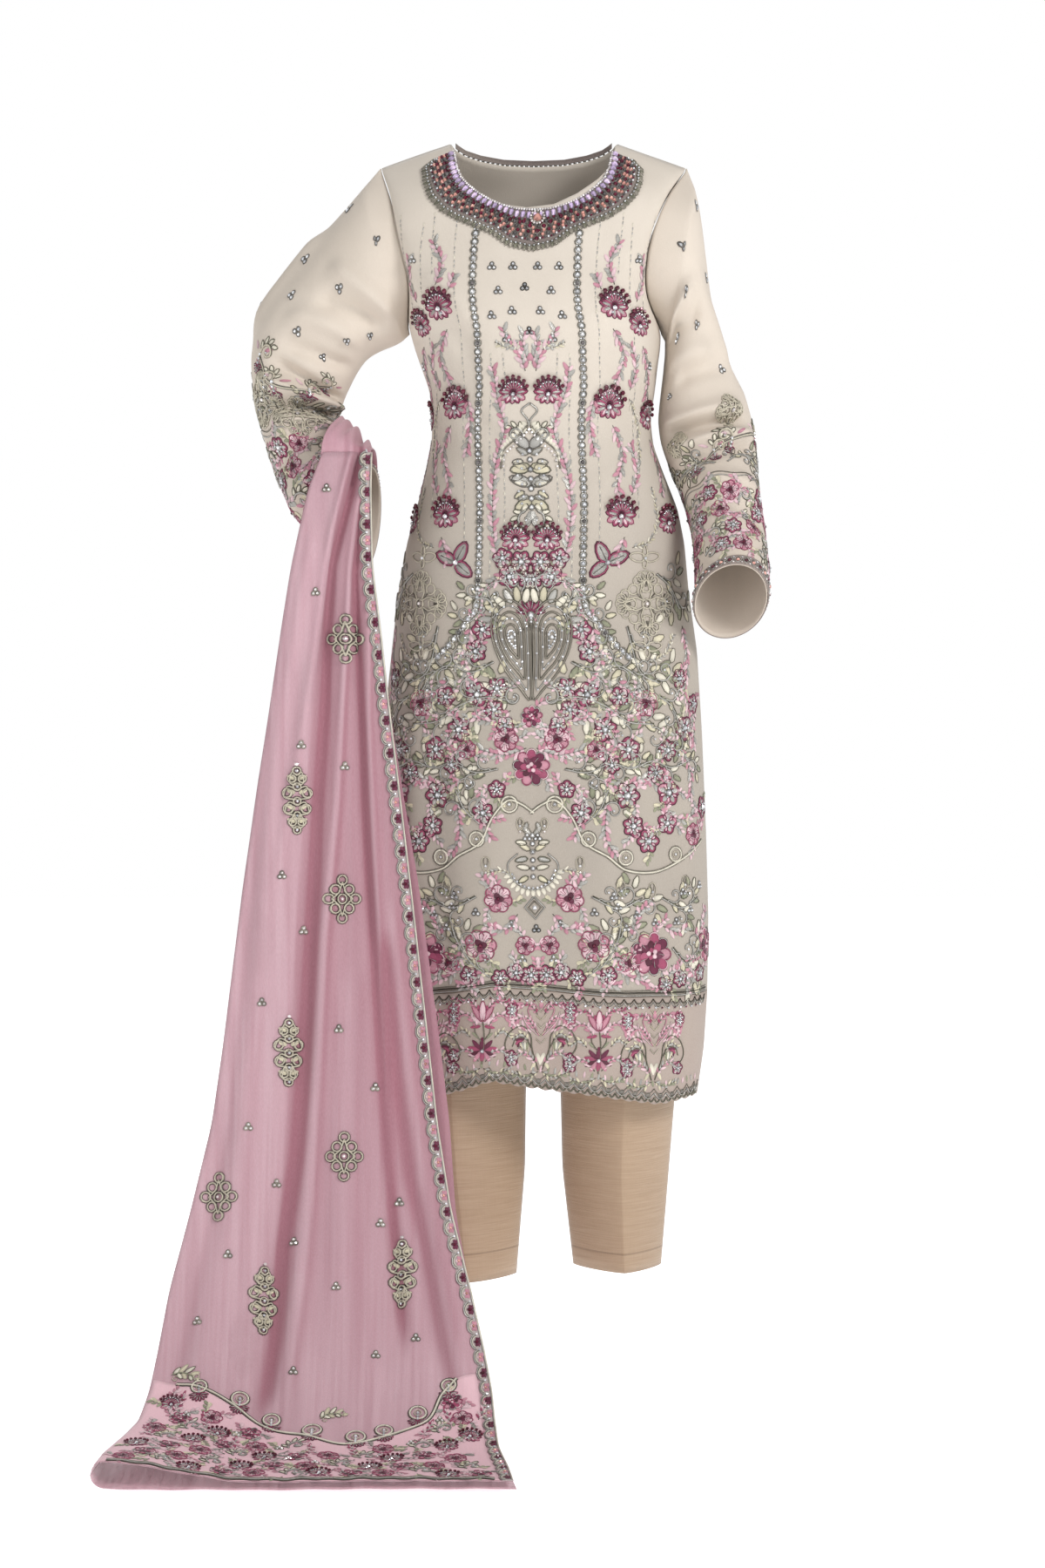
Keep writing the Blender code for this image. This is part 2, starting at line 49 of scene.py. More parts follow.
def smoothTable(table, key, step, blur):  # every column on one fine grid, with its corners rounded
    order = np.argsort(table[key])
    base = np.array(table[key], float)[order]
    fine = np.arange(base[0], base[-1] + step, step)
    half = int(3 * blur / step)
    taps = np.exp(-0.5 * (np.arange(-half, half + 1) * step / blur) ** 2)
    taps /= taps.sum()
    out = {key: fine}
    for name, values in table.items():
        if name == key:
            continue
        line = np.interp(fine, base, np.array(values, float)[order])
        padded = np.concatenate([2 * line[0] - line[half:0:-1], line, 2 * line[-1] - line[-2:-half - 2:-1]])
        out[name] = np.convolve(padded, taps, "valid")[:len(fine)]
    return out


def column(table, name, key, at):
    return np.interp(at, table[key], table[name])


def runAlong(line):  # how far along the line each of its points is
    return np.cumsum(np.concatenate([[0], np.linalg.norm(np.diff(line, axis=0), axis=1)]))


def ease(t):
    t = np.clip(t, 0.0, 1.0)
    return t * t * (3 - 2 * t)


def bump(distance, width):  # soft ridge of height 1
    return np.exp(-(distance / width) ** 2)


def creaseField(a, b, creases):  # a crease has a start, an end, a width and a height in mm
    total = np.zeros(np.broadcast(a, b).shape)
    for (a0, b0), (a1, b1), wide, high in creases:
        da, db = a1 - a0, b1 - b0
        length = math.hypot(da, db)
        t = ((a - a0) * da + (b - b0) * db) / length ** 2
        off = ((a - a0) * -db + (b - b0) * da) / length
        off = off + 0.18 * wide * np.sin(t * 5.0 + a0)  # a slightly wandering line
        total = total + high * bump(off, wide) * ease(t / 0.25) * ease((1 - t) / 0.25)
    return total


def clothFromGrid(name, points, closed=False, thick=1.0, uv=None, depth=None):
    flat = np.zeros(points.shape)  # distance across and along the cloth in metres, and the painted light and shade of the folds
    if uv is not None:
        flat[..., :2] = uv * mm
    # depth carries the painted fold light and shade from foldShade
    if depth is not None:
        flat[..., 2] = depth
    if closed:  # the first column comes again and is then welded to itself
        points = np.concatenate([points, points[:, :1]], axis=1)
        flat = np.concatenate([flat, flat[:, :1]], axis=1)
    rows, cols = points.shape[:2]
    shape = bmesh.new()
    bmesh.ops.create_grid(shape, x_segments=cols - 1, y_segments=rows - 1, size=0.5)
    layer = shape.verts.layers.float_vector.new("cloth")
    for v, place, spot in zip(shape.verts, (points.reshape(-1, 3) * mm).tolist(),
            flat.reshape(-1, 3).tolist()):
        v.co = place
        v[layer] = spot
    if closed:
        bmesh.ops.remove_doubles(shape, verts=shape.verts, dist=1e-6)
    for face in shape.faces:
        face.smooth = True
    piece = newPiece(name, shape)
    wall = piece.modifiers.new("wall", "SOLIDIFY")
    wall.thickness = thick * mm
    wall.offset = -1
    return piece


def newPiece(name, shape):
    mesh = bpy.data.meshes.new(name)
    shape.to_mesh(mesh)
    shape.free()
    piece = bpy.data.objects.new(name, mesh)
    bpy.context.scene.collection.objects.link(piece)
    return piece


def faceAlong(piece, outward):  # turns the whole grid round if its faces look the wrong way
    mesh = piece.data
    normals = np.zeros(len(mesh.polygons) * 3)
    centres = np.zeros(len(mesh.polygons) * 3)
    mesh.polygons.foreach_get("normal", normals)
    mesh.polygons.foreach_get("center", centres)
    wanted = outward(centres.reshape(-1, 3) / mm) if callable(outward) else outward
    if (normals.reshape(-1, 3) * wanted).sum() < 0:
        mesh.flip_normals()


def finishPiece(piece, slotName, material, *nodes):
    piece.data.materials.append(material)
    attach(piece, "root")
    if nodes:
        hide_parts(*nodes)


def sewCloth(name, points, outward, finish, **grid):  # finish: its slot, material and replaced nodes
    piece = clothFromGrid(name, points, **grid)
    faceAlong(piece, outward)
    finishPiece(piece, *finish)


# Materials.

class Sock:  # a socket that takes part in Python arithmetic
    def __init__(self, tree, link):
        self.tree, self.link = tree, link

    def math(self, operation, other=None, third=None):
        node = self.tree.nodes.new("ShaderNodeMath")
        node.operation = operation
        for slot, value in enumerate((self, other, third)):
            if isinstance(value, Sock):
                self.tree.links.new(value.link, node.inputs[slot])
            elif value is not None:
                node.inputs[slot].default_value = value
        return Sock(self.tree, node.outputs[0])

    def __add__(self, other):
        return self.math("ADD", other)

    def __mul__(self, other):
        return self.math("MULTIPLY", other)

    def __sub__(self, other):
        return self.math("SUBTRACT", other)

    def __rsub__(self, other):
        return self * -1.0 + other

    __radd__, __rmul__ = __add__, __mul__


class Finish:  # one material and the nodes that it is made of
    def __init__(self, name, **sockets):
        self.material = bpy.data.materials.new(name)
        self.material.use_nodes = True
        self.tree = self.material.node_tree
        self.shader = self.tree.nodes["Principled BSDF"]
        for key, value in sockets.items():
            self.set(key, value)

    def set(self, socket, value):
        target = self.shader.inputs[socket.replace("_", " ")]
        if isinstance(value, Sock):
            self.tree.links.new(value.link, target)
        else:
            target.default_value = (*value, 1) if isinstance(value, tuple) else value

    def node(self, kind, settings=None, values=None, out=0):
        node = self.tree.nodes.new(kind)
        for key, value in (settings or {}).items():
            if key == "stops":
                ramp = node.color_ramp
                while len(ramp.elements) < len(value):
                    ramp.elements.new(0.5)
                for element, (place, colour) in zip(ramp.elements, value):
                    element.position, element.color = place, (*colour, 1)
            else:
                setattr(node, key, value)
        for key, value in (values or {}).items():
            if isinstance(value, Sock):
                self.tree.links.new(value.link, node.inputs[key])
            else:
                isColour = isinstance(value, tuple) and node.inputs[key].type == "RGBA"
                node.inputs[key].default_value = (*value, 1) if isColour else value
        return Sock(self.tree, node.outputs[out])

    def place(self, stretch=(1, 1, 1), own=None):
        if own:
            source = self.node("ShaderNodeAttribute", {"attribute_name": own}, out=1)
        else:
            source = self.node("ShaderNodeTexCoord", out=3)
        return self.node("ShaderNodeMapping", values={"Vector": source, "Scale": stretch})

    def noise(self, where, scale, detail=2.0):
        return self.node("ShaderNodeTexNoise", values={"Vector": where, "Scale": scale, "Detail": detail})

    def mix(self, factor, a, b, blend="MIX"):
        return self.node("ShaderNodeMix", {"data_type": "RGBA", "blend_type": blend},
            {0: factor, 6: a, 7: b}, out=2)

    def axis(self, where, number):
        return self.node("ShaderNodeSeparateXYZ", values={"Vector": where}, out=number)

    def span(self, value, start, end, kind="LINEAR"):  # 0 at the start and 1 at the end
        return self.node("ShaderNodeMapRange", {"interpolation_type": kind},
            {"Value": value, 1: start, 2: end})

    def bumpFrom(self, height, strength, distance):
        self.set("Normal", self.node("ShaderNodeBump", values={"Height": height, "Strength": strength,
            "Distance": distance}))


georgette = {"upper": srgb(216, 206, 193), "lower": srgb(164, 155, 144), "dark": srgb(180, 169, 155)}


def makeGeorgette(name, light, low):
    f = Finish(name, Roughness=0.78, Sheen_Weight=0.12, Sheen_Roughness=0.5, Specular_IOR_Level=0.25)
    where = f.place()
    fall = f.span(f.axis(where, 2), -0.16, -0.62, "SMOOTHSTEP")
    cloud = f.noise(where, 9.0, 4.0)
    crepe = f.noise(f.place((1, 1, 0.6)), 950.0, 1.0)
    tone = f.mix(fall, light, low)
    tone = f.mix((cloud - 0.5) * 0.9 + 0.18, tone, georgette["dark"])
    tone = f.mix(crepe * 0.16, tone, srgb(240, 232, 224))
    f.set("Base_Color", tone)
    f.bumpFrom(crepe, 0.25, 0.0006)
    return f.material


def makeRawSilk():
    f = Finish("rawSilk", Roughness=0.5, Sheen_Weight=0.2, Specular_IOR_Level=0.4)
    slub = f.noise(f.place((3.2, 3.2, 120)), 6.0, 3.0)
    fineSlub = f.noise(f.place((9, 9, 420)), 5.0, 2.0)
    warp = f.noise(f.place((500, 500, 12)), 3.0, 1.0)
    cloud = f.noise(f.place(), 5.0, 2.0)
    tone = f.node("ShaderNodeValToRGB", {"stops": [(0.30, srgb(160, 134, 108)), (0.50, srgb(174, 148, 122)),
        (0.72, srgb(188, 163, 138))]}, {"Fac": slub * 0.55 + fineSlub * 0.25 + cloud * 0.2})
    level = f.axis(f.place(), 2)
    low = f.span(level, -1.0, -1.35)
    seam = f.node("ShaderNodeMath", {"operation": "COMPARE"}, {0: level, 1: -1.292, 2: 0.0011})
    tone = f.mix(low * 0.30, tone, srgb(142, 114, 88))
    tone = f.mix(seam * 0.55, tone, srgb(112, 88, 66))
    f.set("Base_Color", f.mix(warp * 0.16, tone, srgb(214, 190, 166)))
    f.set("Roughness", 0.62 - slub * 0.2)
    f.bumpFrom(slub * 0.7 + fineSlub * 0.5 + warp * 0.2, 0.5, 0.0012)
    return f.material


def makeChiffon(name, tone, deep, sheer):  # painted shade: darker towards the deep tone where the painted fold shade value is low and along the crinkle streaks, and less sheer there
    f = Finish(name, Roughness=0.7, Sheen_Weight=0.25, Specular_IOR_Level=0.2)
    crepe = f.noise(f.place((900, 900, 220)), 1.0, 1.0)
    cloud = f.noise(f.place(), 6.0, 3.0)
    # trough: painted shade in the folds, read from the fold shade value kept in the cloth attribute
    trough = f.span(f.axis(f.place(own="cloth"), 2), 0.22, -0.85, "SMOOTHSTEP")
    base = f.mix(cloud * 0.5, tone, tuple(min(1, c * 1.18) for c in tone))
    crinkle = f.noise(f.place((190, 5, 0), own="cloth"), 1.0, 3.0)
    wrinkle = f.noise(f.place((46, 2.2, 0), own="cloth"), 1.0, 2.0)
    rise = crinkle * 0.6 + wrinkle * 0.4
    shadow = f.span(rise, 0.38, 0.66)
    # deep is the colour of the painted shade in the folds and crinkle streaks
    base = f.mix(trough * 0.85, base, deep)
    base = f.mix(shadow * 0.34, base, deep)
    f.set("Base_Color", f.mix(crepe * 0.12, base, srgb(228, 196, 204)))
    f.set("Alpha", crepe * 0.10 + trough * 0.22 + shadow * 0.12 + (sheer - 0.04))
    f.bumpFrom(crepe * 0.15 + rise * -1.0, 0.6, 0.0016)
    return f.material


creamCloth = makeGeorgette("creamGeorgette", georgette["upper"], georgette["lower"])
sleeveCloth = makeGeorgette("sleeveGeorgette", srgb(216, 204, 190), srgb(200, 186, 172))
hemNet = makeGeorgette("hemNet", srgb(168, 152, 142), srgb(162, 145, 136))
rawSilk = makeRawSilk()
roseChiffon = makeChiffon("roseChiffon", srgb(216, 180, 189), srgb(152, 88, 103), 0.58)
roseUnder = makeChiffon("roseUnder", srgb(204, 158, 170), srgb(150, 90, 106), 0.56)
roseBorder = makeChiffon("roseBorder", srgb(238, 198, 206), srgb(216, 170, 180), 0.84)
braidGround = makeGeorgette("braidGround", srgb(104, 90, 88), srgb(120, 104, 100))
laceGround = makeGeorgette("laceGround", srgb(186, 172, 172), srgb(180, 164, 166))
roseOpaque = makeChiffon("roseGathered", srgb(203, 160, 171), srgb(146, 86, 101), 0.84)
print("materials made")


# Kameez body.

torsoTable = {
    "z": (30, 0, -30, -45, -62, -85, -106, -130, -159, -180, -200, -213, -222, -240, -260, -288, -320, -350,
        -380, -425, -465, -520, -590, -685, -800, -900, -990, -1055, -1125),
    "left": (-178, -178, -176, -171, -165, -160, -156, -150, -143, -142, -143, -144, -142, -137, -130, -120,
        -117, -118, -124, -136, -147, -157, -165, -175, -183, -188, -190, -188, -184),
    "right": (181, 180, 179, 168, 156, 145, 137, 131, 128, 130, 138, 146, 149, 148, 145, 142, 137, 140, 151,
        169, 177, 182, 192, 198, 203, 206, 205, 201, 191),
    "front": (-44, -52, -60, -64, -70, -78, -86, -96, -107, -113, -117, -118, -118, -117, -112, -105, -99,
        -98, -100, -103, -106, -110, -113, -115, -116, -117, -117, -116, -114),
    "back": (40, 45, 58, 66, 74, 82, 88, 92, 94, 94, 93, 92, 91, 89, 86, 82, 80, 83, 90, 102, 112, 118, 119,
        117, 114, 112, 110, 108, 106),
    "frontEdge": (6, 6, 4, -20, -34, -46, -52, -55, -52, -44, -28, -12, -1, -1, -1, -1, -1, -1, -1, -1, -1,
        -1, -1, -3, -6, -8, -9, -10, -11),
    "backEdge": (6, 6, 8, 32, 44, 54, 58, 60, 56, 48, 32, 14, 1, 1, 1, 1, 1, 1, 1, 1, 1, 1, 1, 4, 8, 11, 13,
        14, 15),
}
torso = smoothTable(torsoTable, "z", 2.0, 5.0)
neckLine = {"u": (-1, -0.90, -0.72, -0.545, -0.53, -0.515, -0.50, -0.45, -0.35, -0.20, 0, 0.20, 0.35, 0.45,
    0.50, 0.515, 0.53, 0.545, 0.72, 0.90, 1), "front": (-30, -24, -13, -2, -5, -20, -34, -51, -66, -79, -83,
    -79, -66, -51, -34, -20, -5, -2, -13, -24, -30), "back": (-30, -24, -13, -2, -3, -6, -8, -13, -18, -22,
    -23, -22, -18, -13, -8, -6, -3, -2, -13, -24, -30)}
hemLine = {"u": (-1, -0.7, -0.5, -0.28, 0, 0.25, 0.5, 0.75, 1),
    "seam": (-986, -984, -979, -971, -975, -980, -984, -986, -985),
    "hem": (-1105, -1101, -1093, -1079, -1087, -1093, -1101, -1109, -1104)}
bodyCreases = {  # across in mm from the middle of the panel, height in mm
    "front": [((-118, -150), (-66, -215), 13, 2.6), ((-124, -190), (-70, -262), 12, -2.4),
        ((112, -150), (70, -220), 13, 2.4), ((124, -205), (80, -290), 12, -2.2),
        ((-110, -300), (-40, -352), 11, -2.2), ((-112, -335), (-30, -392), 12, 2.0),
        ((118, -310), (40, -360), 11, -2.0), ((124, -350), (44, -415), 12, 2.2),
        ((-60, -420), (-86, -640), 16, -1.6), ((66, -430), (92, -660), 17, -1.6),
        ((-150, -560), (-158, -985), 15, 4.0), ((-112, -620), (-118, -1110), 18, -3.2),
        ((-58, -700), (-62, -1110), 22, 2.2), ((8, -760), (4, -1110), 26, -2.4),
        ((66, -700), (74, -1110), 20, 2.4), ((122, -600), (132, -1110), 19, -3.4),
        ((168, -560), (178, -1100), 14, 3.8)],
    "back": [((-90, -120), (-60, -260), 16, -2.4), ((90, -120), (58, -260), 16, -2.2),
        ((-100, -300), (-20, -345), 12, -2.6), ((104, -310), (20, -352), 12, -2.4),
        ((-70, -350), (60, -368), 14, 2.2), ((0, -380), (4, -620), 20, 1.8),
        ((-150, -560), (-156, -1110), 17, 4.0), ((-104, -640), (-108, -1110), 20, -3.6),
        ((-44, -700), (-50, -1110), 22, 3.0), ((20, -680), (22, -1110), 24, -3.0),
        ((78, -640), (84, -1110), 20, 3.2), ((142, -600), (150, -1110), 18, -3.2)],
}


kameez = {  # in mm, with the numbers of columns and rows of each grid
    "middle": 8, "roundness": 2.3, "creases": 1.7, "heights": (-1122.0, 6.0, 4.0), "across": 241,
    "shoulderStart": 90.0, "shoulderSlope": -0.34, "shoulderDeep": 75.0, "shoulderSeam": 6.0,
        "seamGap": 1.2,
    "panelThick": 1.2, "panelColumns": 77, "panelRows": 112,
    "neckPlaces": (-0.545, -0.53, -0.515, -0.5, 0.5, 0.515, 0.53, 0.545),
    "hemThick": 1.0, "hemColumns": 131, "hemRows": 15, "hemOverlap": 0.8, "scallopDeep": 3.0,
    "scallopPitch": 16.4,
}


def torsoSides(z):
    return column(torso, "left", "z", z), column(torso, "right", "z", z)


def torsoPoint(u, z, side, creased=True):
    left, right = torsoSides(z)
    edge, far = column(torso, side + "Edge", "z", z), column(torso, side, "z", z)
    sign = -1.0 if side == "front" else 1.0
    x = left + (right - left) * (u + 1) / 2
    round_ = np.clip(1 - np.abs(u) ** kameez["roundness"], 0, 1) ** (1 / kameez["roundness"])
    y = edge + (far - edge) * round_
    if creased:
        fold = kameez["creases"] * creaseField(x - (left + right) / 2, z, bodyCreases[side])
        y = y + sign * fold * ease(round_ * 1.6)
    shoulder = kameez["shoulderSlope"] * (np.abs(x) - kameez["shoulderStart"])
    drop = np.clip((shoulder - z) / kameez["shoulderDeep"], 0, 1)
    seam = kameez["shoulderSeam"] + sign * kameez["seamGap"]
    y = seam + (y - seam) * np.sqrt(1 - (1 - drop) ** 2)
    return np.stack(np.broadcast_arrays(x, y, z), axis=-1)


class BodyCloth:  # distance across the cloth from its middle, and height, onto the panel
    def __init__(self, side):
        self.side = side
        self.u = np.linspace(-1, 1, kameez["across"])
        self.z = np.arange(*kameez["heights"])
        points = torsoPoint(self.u[None, :], self.z[:, None], side, False)
        step = np.linalg.norm(np.diff(points, axis=1), axis=2)
        self.run = np.concatenate([np.zeros((len(self.z), 1)), np.cumsum(step, axis=1)], axis=1)
        self.run -= self.run[:, [kameez["across"] // 2]]

    def rowAt(self, z):
        return np.clip((z - self.z[0]) / kameez["heights"][2], 0, len(self.z) - 1.001)

    def uAt(self, s, z):
        place = self.rowAt(z)
        row = place.astype(int)
        out = np.zeros_like(s)
        for r in np.unique(row):
            pick = row == r
            part = (place - row)[pick]
            above, below = (np.interp(s[pick], self.run[i], self.u) for i in (r, r + 1))
            out[pick] = above * (1 - part) + below * part
        return out

    def sAt(self, x, z):  # distance across at a front-seen x
        left, right = torsoSides(z)
        row = round(float(self.rowAt(z)))
        return float(np.interp(2 * (x - left) / (right - left) - 1, self.u, self.run[row]))

    def at(self, s, z):
        return torsoPoint(np.clip(self.uAt(s, z), -0.999, 0.999), z, self.side)


def bodyShell(name, side, us, z, thick, *finish):
    points = torsoPoint(us[None, :] + 0 * z, z, side)
    sewCloth(name + side.capitalize(), points, lambda c: c * (1, 1, 0) - (kameez["middle"], 0, 0), finish,
        thick=thick, uv=np.stack([points[..., 0], z], axis=-1))


def panelShell(side):
    us = -1 + 2 * ease(np.linspace(0, 1, kameez["panelColumns"]))
    us = np.unique(np.concatenate([us, kameez["neckPlaces"]]))
    tops = np.interp(us, neckLine["u"], neckLine[side])
    lows = np.interp(us, hemLine["u"], hemLine["seam"])
    z = tops + (lows - tops) * (np.linspace(0, 1, kameez["panelRows"]) ** 1.1)[:, None]
    bodyShell("kameez", side, us, z, kameez["panelThick"], "cream_georgette", creamCloth, "kameez_" + side)


def hemShell(side):
    us = -1 + 2 * ease(np.linspace(0, 1, kameez["hemColumns"]))
    tops = np.interp(us, hemLine["u"], hemLine["seam"]) - kameez["hemOverlap"]
    lows = np.interp(us, hemLine["u"], hemLine["hem"])
    run = runAlong(torsoPoint(us, lows, side))
    lows = lows - kameez["scallopDeep"] * np.abs(np.sin(run * math.pi / kameez["scallopPitch"]))
    z = tops + (lows - tops) * np.linspace(0, 1, kameez["hemRows"])[:, None]
    bodyShell("hem", side, us, z, kameez["hemThick"], "hem_lace", hemNet, "hem_lace_" + side)


frontCloth, backCloth = BodyCloth("front"), BodyCloth("back")
for shell in (panelShell, hemShell):
    for side in ("front", "back"):
        shell(side)
print("kameez body made")


# Sleeves.

sleeveTables = {
    "right": {
        "outX": (-198, -217, -245, -269, -294, -316, -330, -326, -317, -298, -274, -237, -204, -193),
        "outZ": (-55, -77, -107, -137, -168, -198, -243, -286, -328, -386, -437, -474, -488, -492),
        "inX": (-151, -158, -178, -194, -205, -213, -220, -226, -230, -219, -202, -192, -187, -185),
        "inZ": (-229, -234, -241, -250, -265, -280, -294, -310, -330, -349, -363, -371, -375, -377),
        "midY": (1, 2, 5, 9, 13, 16, 17, 12, 3, -14, -30, -44, -51, -53),
        "deep": (60, 62, 62, 61, 59, 57, 54, 50, 46, 44, 44, 44, 44, 44),
        "lean": (0, 0, 0, 0, 0, 2, 4, 8, 11, 12, 12, 12, 12, 12),
        "lift": (0, 0, 0, 0, 0, 0, -2, -6, -10, -8, -6, -4, -3, -3)},
    "left": {
        "outX": (188, 194, 198, 202, 207, 215, 224, 243, 255, 259, 260, 262, 265, 268, 270, 267),
        "outZ": (-54, -77, -107, -140, -170, -205, -240, -278, -320, -352, -385, -415, -445, -475, -501,
            -528),
        "inX": (154, 154, 154, 153, 152, 150, 148, 146, 149, 158, 169, 178, 184, 186, 186, 184),
        "inZ": (-230, -238, -246, -256, -268, -284, -302, -322, -348, -374, -398, -425, -452, -482, -512,
            -535),
        "midY": (1, 2, 3, 4, 5, 6, 6, 4, -2, -12, -26, -43, -60, -76, -91, -104),
        "deep": (60, 60, 60, 60, 60, 60, 61, 62, 61, 58, 55, 52, 50, 48, 46, 45),
        "lean": (0,) * 16,
        "lift": (0, 0, 0, 0, 0, 0, 0, -2, -8, -16, -22, -26, -29, -32, -36, -42)},
}
# Creases on a sleeve: mm round the arm from the front line, outwards positive, and mm along it.
sleeveCreases = {
    "right": [((-60, 20), (40, 88), 9, 3.4), ((-70, 46), (26, 116), 9, -3.0),
        ((-64, 90), (44, 150), 10, 2.6), ((-78, 128), (30, 176), 9, -2.8), ((-90, 196), (40, 188), 8, -4.0),
        ((-92, 214), (52, 210), 8, 4.2), ((-88, 232), (40, 236), 8, -4.0), ((-84, 252), (30, 262), 9, 3.4),
        ((-50, 280), (60, 300), 10, -2.4), ((-40, 310), (60, 345), 11, 2.4), ((90, 60), (96, 190), 14, 3.0),
        ((-20, 350), (70, 400), 12, -2.2)],
    "left": [((-70, 20), (30, 84), 10, 3.2), ((-66, 52), (34, 116), 10, -3.2),
        ((-58, 96), (40, 158), 11, 2.8), ((-40, 142), (70, 176), 10, -2.8), ((-70, 196), (60, 214), 9, 3.6),
        ((-76, 222), (64, 232), 8, -4.0), ((-70, 250), (70, 246), 9, 3.8), ((-60, 278), (70, 264), 9, -3.4),
        ((-40, 300), (56, 330), 11, 2.4), ((30, 60), (58, 190), 15, 2.8), ((-20, 340), (50, 380), 12, -2.4),
        ((76, 80), (84, 200), 12, -2.4)],
    # at the back of the elbow, from a line that is backCreases round from the front on both sides
    "back": [((-20, 190), (40, 200), 9, -5.0), ((-30, 215), (40, 222), 9, 5.2),
        ((-30, 240), (40, 250), 9, -4.4)],
}
sleeve = {  # in mm, with the numbers of columns and rows of the grid
    "thick": 1.2, "columns": 80, "rows": 92, "creases": 3.2, "backCreases": 150, "smoothStart": 40,
    "smoothEnd": 30, "armholeLow": -222, "armholeTall": 192, "armholeGap": 1.4, "radius": 50,
}


def armholePoints(wearer, turns):
    u = sign = 1.0 if wearer == "left" else -1.0
    z = sleeve["armholeLow"] + sleeve["armholeTall"] * (1 + np.cos(turns)) / 2
    front, back = (torsoPoint(np.full_like(z, u), z, side, False) for side in ("front", "back"))
    return np.where((np.sin(turns) >= 0)[:, None], front, back) + (sign * sleeve["armholeGap"], 0, 0)


class SleeveCloth:
    def __init__(self, wearer):
        self.wearer, self.out = wearer, 1.0 if wearer == "left" else -1.0
        table = {k: np.array(v, float) for k, v in sleeveTables[wearer].items()}
        middle = np.stack([(table["outX"] + table["inX"]) / 2, table["midY"],
            (table["outZ"] + table["inZ"]) / 2], axis=1)
        start = armholePoints(wearer, np.linspace(0, 2 * math.pi, 40, endpoint=False)).mean(axis=0)
        run = np.cumsum([0] + [np.linalg.norm(b - a) for a, b in zip([start, *middle], middle)])
        self.length, self.first = run[-1], run[1]
        self.table = smoothTable({"run": run[1:], **table}, "run", 1.0, 9.0)

    def get(self, name, run):
        return column(self.table, name, "run", run)

    def ring(self, turn, run):
        ox, oz, ix, iz = (self.get(name, run) for name in ("outX", "outZ", "inX", "inZ"))
        c, s = np.cos(turn), np.sin(turn)
        x = (ox + ix) / 2 + (ox - ix) / 2 * c - self.get("lean", run) * s
        y = self.get("midY", run) - self.get("deep", run) * s
        z = (oz + iz) / 2 + (oz - iz) / 2 * c - self.get("lift", run) * s
        return np.stack(np.broadcast_arrays(x, y, z), axis=-1)

    def girth(self, run):
        wide, tall = (self.get("out" + axis, run) - self.get("in" + axis, run) for axis in "XZ")
        return (np.hypot(wide, tall) / 2 + self.get("deep", run)) / 2

    def point(self, turn, run, creased=True):
        turn, run = np.broadcast_arrays(np.asarray(turn, float), np.asarray(run, float))
        place = self.ring(turn, np.maximum(run, self.first))
        if creased:
            around = math.pi / 2 - turn  # 0 at the front line, towards the outside positive
            around = (around + math.pi) % (2 * math.pi) - math.pi
            radius = self.girth(np.maximum(run, self.first))
            fold = sleeve["creases"] * creaseField(around * radius, run, sleeveCreases[self.wearer])
            behind = np.abs(around) * radius - sleeve["backCreases"]
            fold = fold + creaseField(behind, run, sleeveCreases["back"])
            centre = self.ring(turn + math.pi, np.maximum(run, self.first))
            out = place - (place + centre) / 2
            out = out / np.linalg.norm(out, axis=-1, keepdims=True)
            fold = fold * ease(run / sleeve["smoothStart"]) * ease((self.length - run) /
                sleeve["smoothEnd"])
            place = place + out * fold[..., None]
        part = ease(run / self.first)[..., None]
        hole = armholePoints(self.wearer, turn.ravel()).reshape(*turn.shape, 3)
        return hole * (1 - part) + place * part

    def at(self, around, run):
        turn = math.pi / 2 - around / self.girth(np.maximum(run, self.first))
        return self.point(turn, run)


def sleeveShell(wearer):
    cloth = SleeveCloth(wearer)
    turns = np.linspace(0, 2 * math.pi, sleeve["columns"], endpoint=False)[None, :]
    runs = np.linspace(0, cloth.length, sleeve["rows"])[:, None]
    points = cloth.point(turns, runs)
    middles = np.repeat(points.mean(axis=1), sleeve["columns"], axis=0)
    sewCloth("sleeve" + wearer.capitalize(), points, lambda c: c - middles[:len(c)],
        ("cream_georgette", sleeveCloth, "sleeve_" + wearer), closed=True, thick=sleeve["thick"],
        uv=np.stack(np.broadcast_arrays(turns * sleeve["radius"], runs), axis=-1))
    return cloth


rightSleeve, leftSleeve = sleeveShell("right"), sleeveShell("left")
print("sleeves made")


# Trousers.

legProfile = {  # the same on both legs; rise is the share of the depth at the middle seam
    "z": (-402, -490, -545, -600, -635, -655, -720, -800, -900, -1000, -1110, -1200),
    "front": (-84, -90, -94, -94, -92, -90, -87, -82, -76, -71, -67, -64, -61),
    "back": (74, 94, 100, 100, 98, 96, 92, 85, 78, 72, 67, 63, 58),
    "rise": (0.97, 0.96, 0.94, 0.82, 0.5, 0, 0, 0, 0, 0, 0, 0, 0),
    "round": (2.2, 2.2, 2.2, 2.1, 2.0, 1.9, 1.8, 1.65, 1.55, 1.45, 1.35, 1.3, 1.3),
}
legTables = {
    "left": {
        "inX": (13, 13, 13, 13, 13, 13, 14, 16, 20, 26, 33, 35, 48),
        "outX": (138, 160, 168, 171, 171, 171, 171, 172, 173, 172, 168, 161, 152),
        "creaseX": (60, 78, 86, 92, 94, 95, 96, 98, 101, 104, 106, 103, 107)},
    "right": {
        "inX": (11, 11, 11, 11, 11, 11, 10, 8, 2, -4, -8, -9, -19),
        "outX": (-114, -134, -142, -146, -147, -148, -149, -150, -151, -151, -147, -141, -131),
        "creaseX": (-38, -54, -62, -68, -71, -74, -78, -82, -88, -93, -95, -89, -76)},
}
legFolds = {"left": [((20, -1170), (120, -1205), 14, -2.0), ((0, -1225), (90, -1262), 12, 1.6)],
    "right": [((-20, -1180), (-110, -1215), 14, -2.0), ((0, -1235), (-90, -1265), 12, 1.6)]}
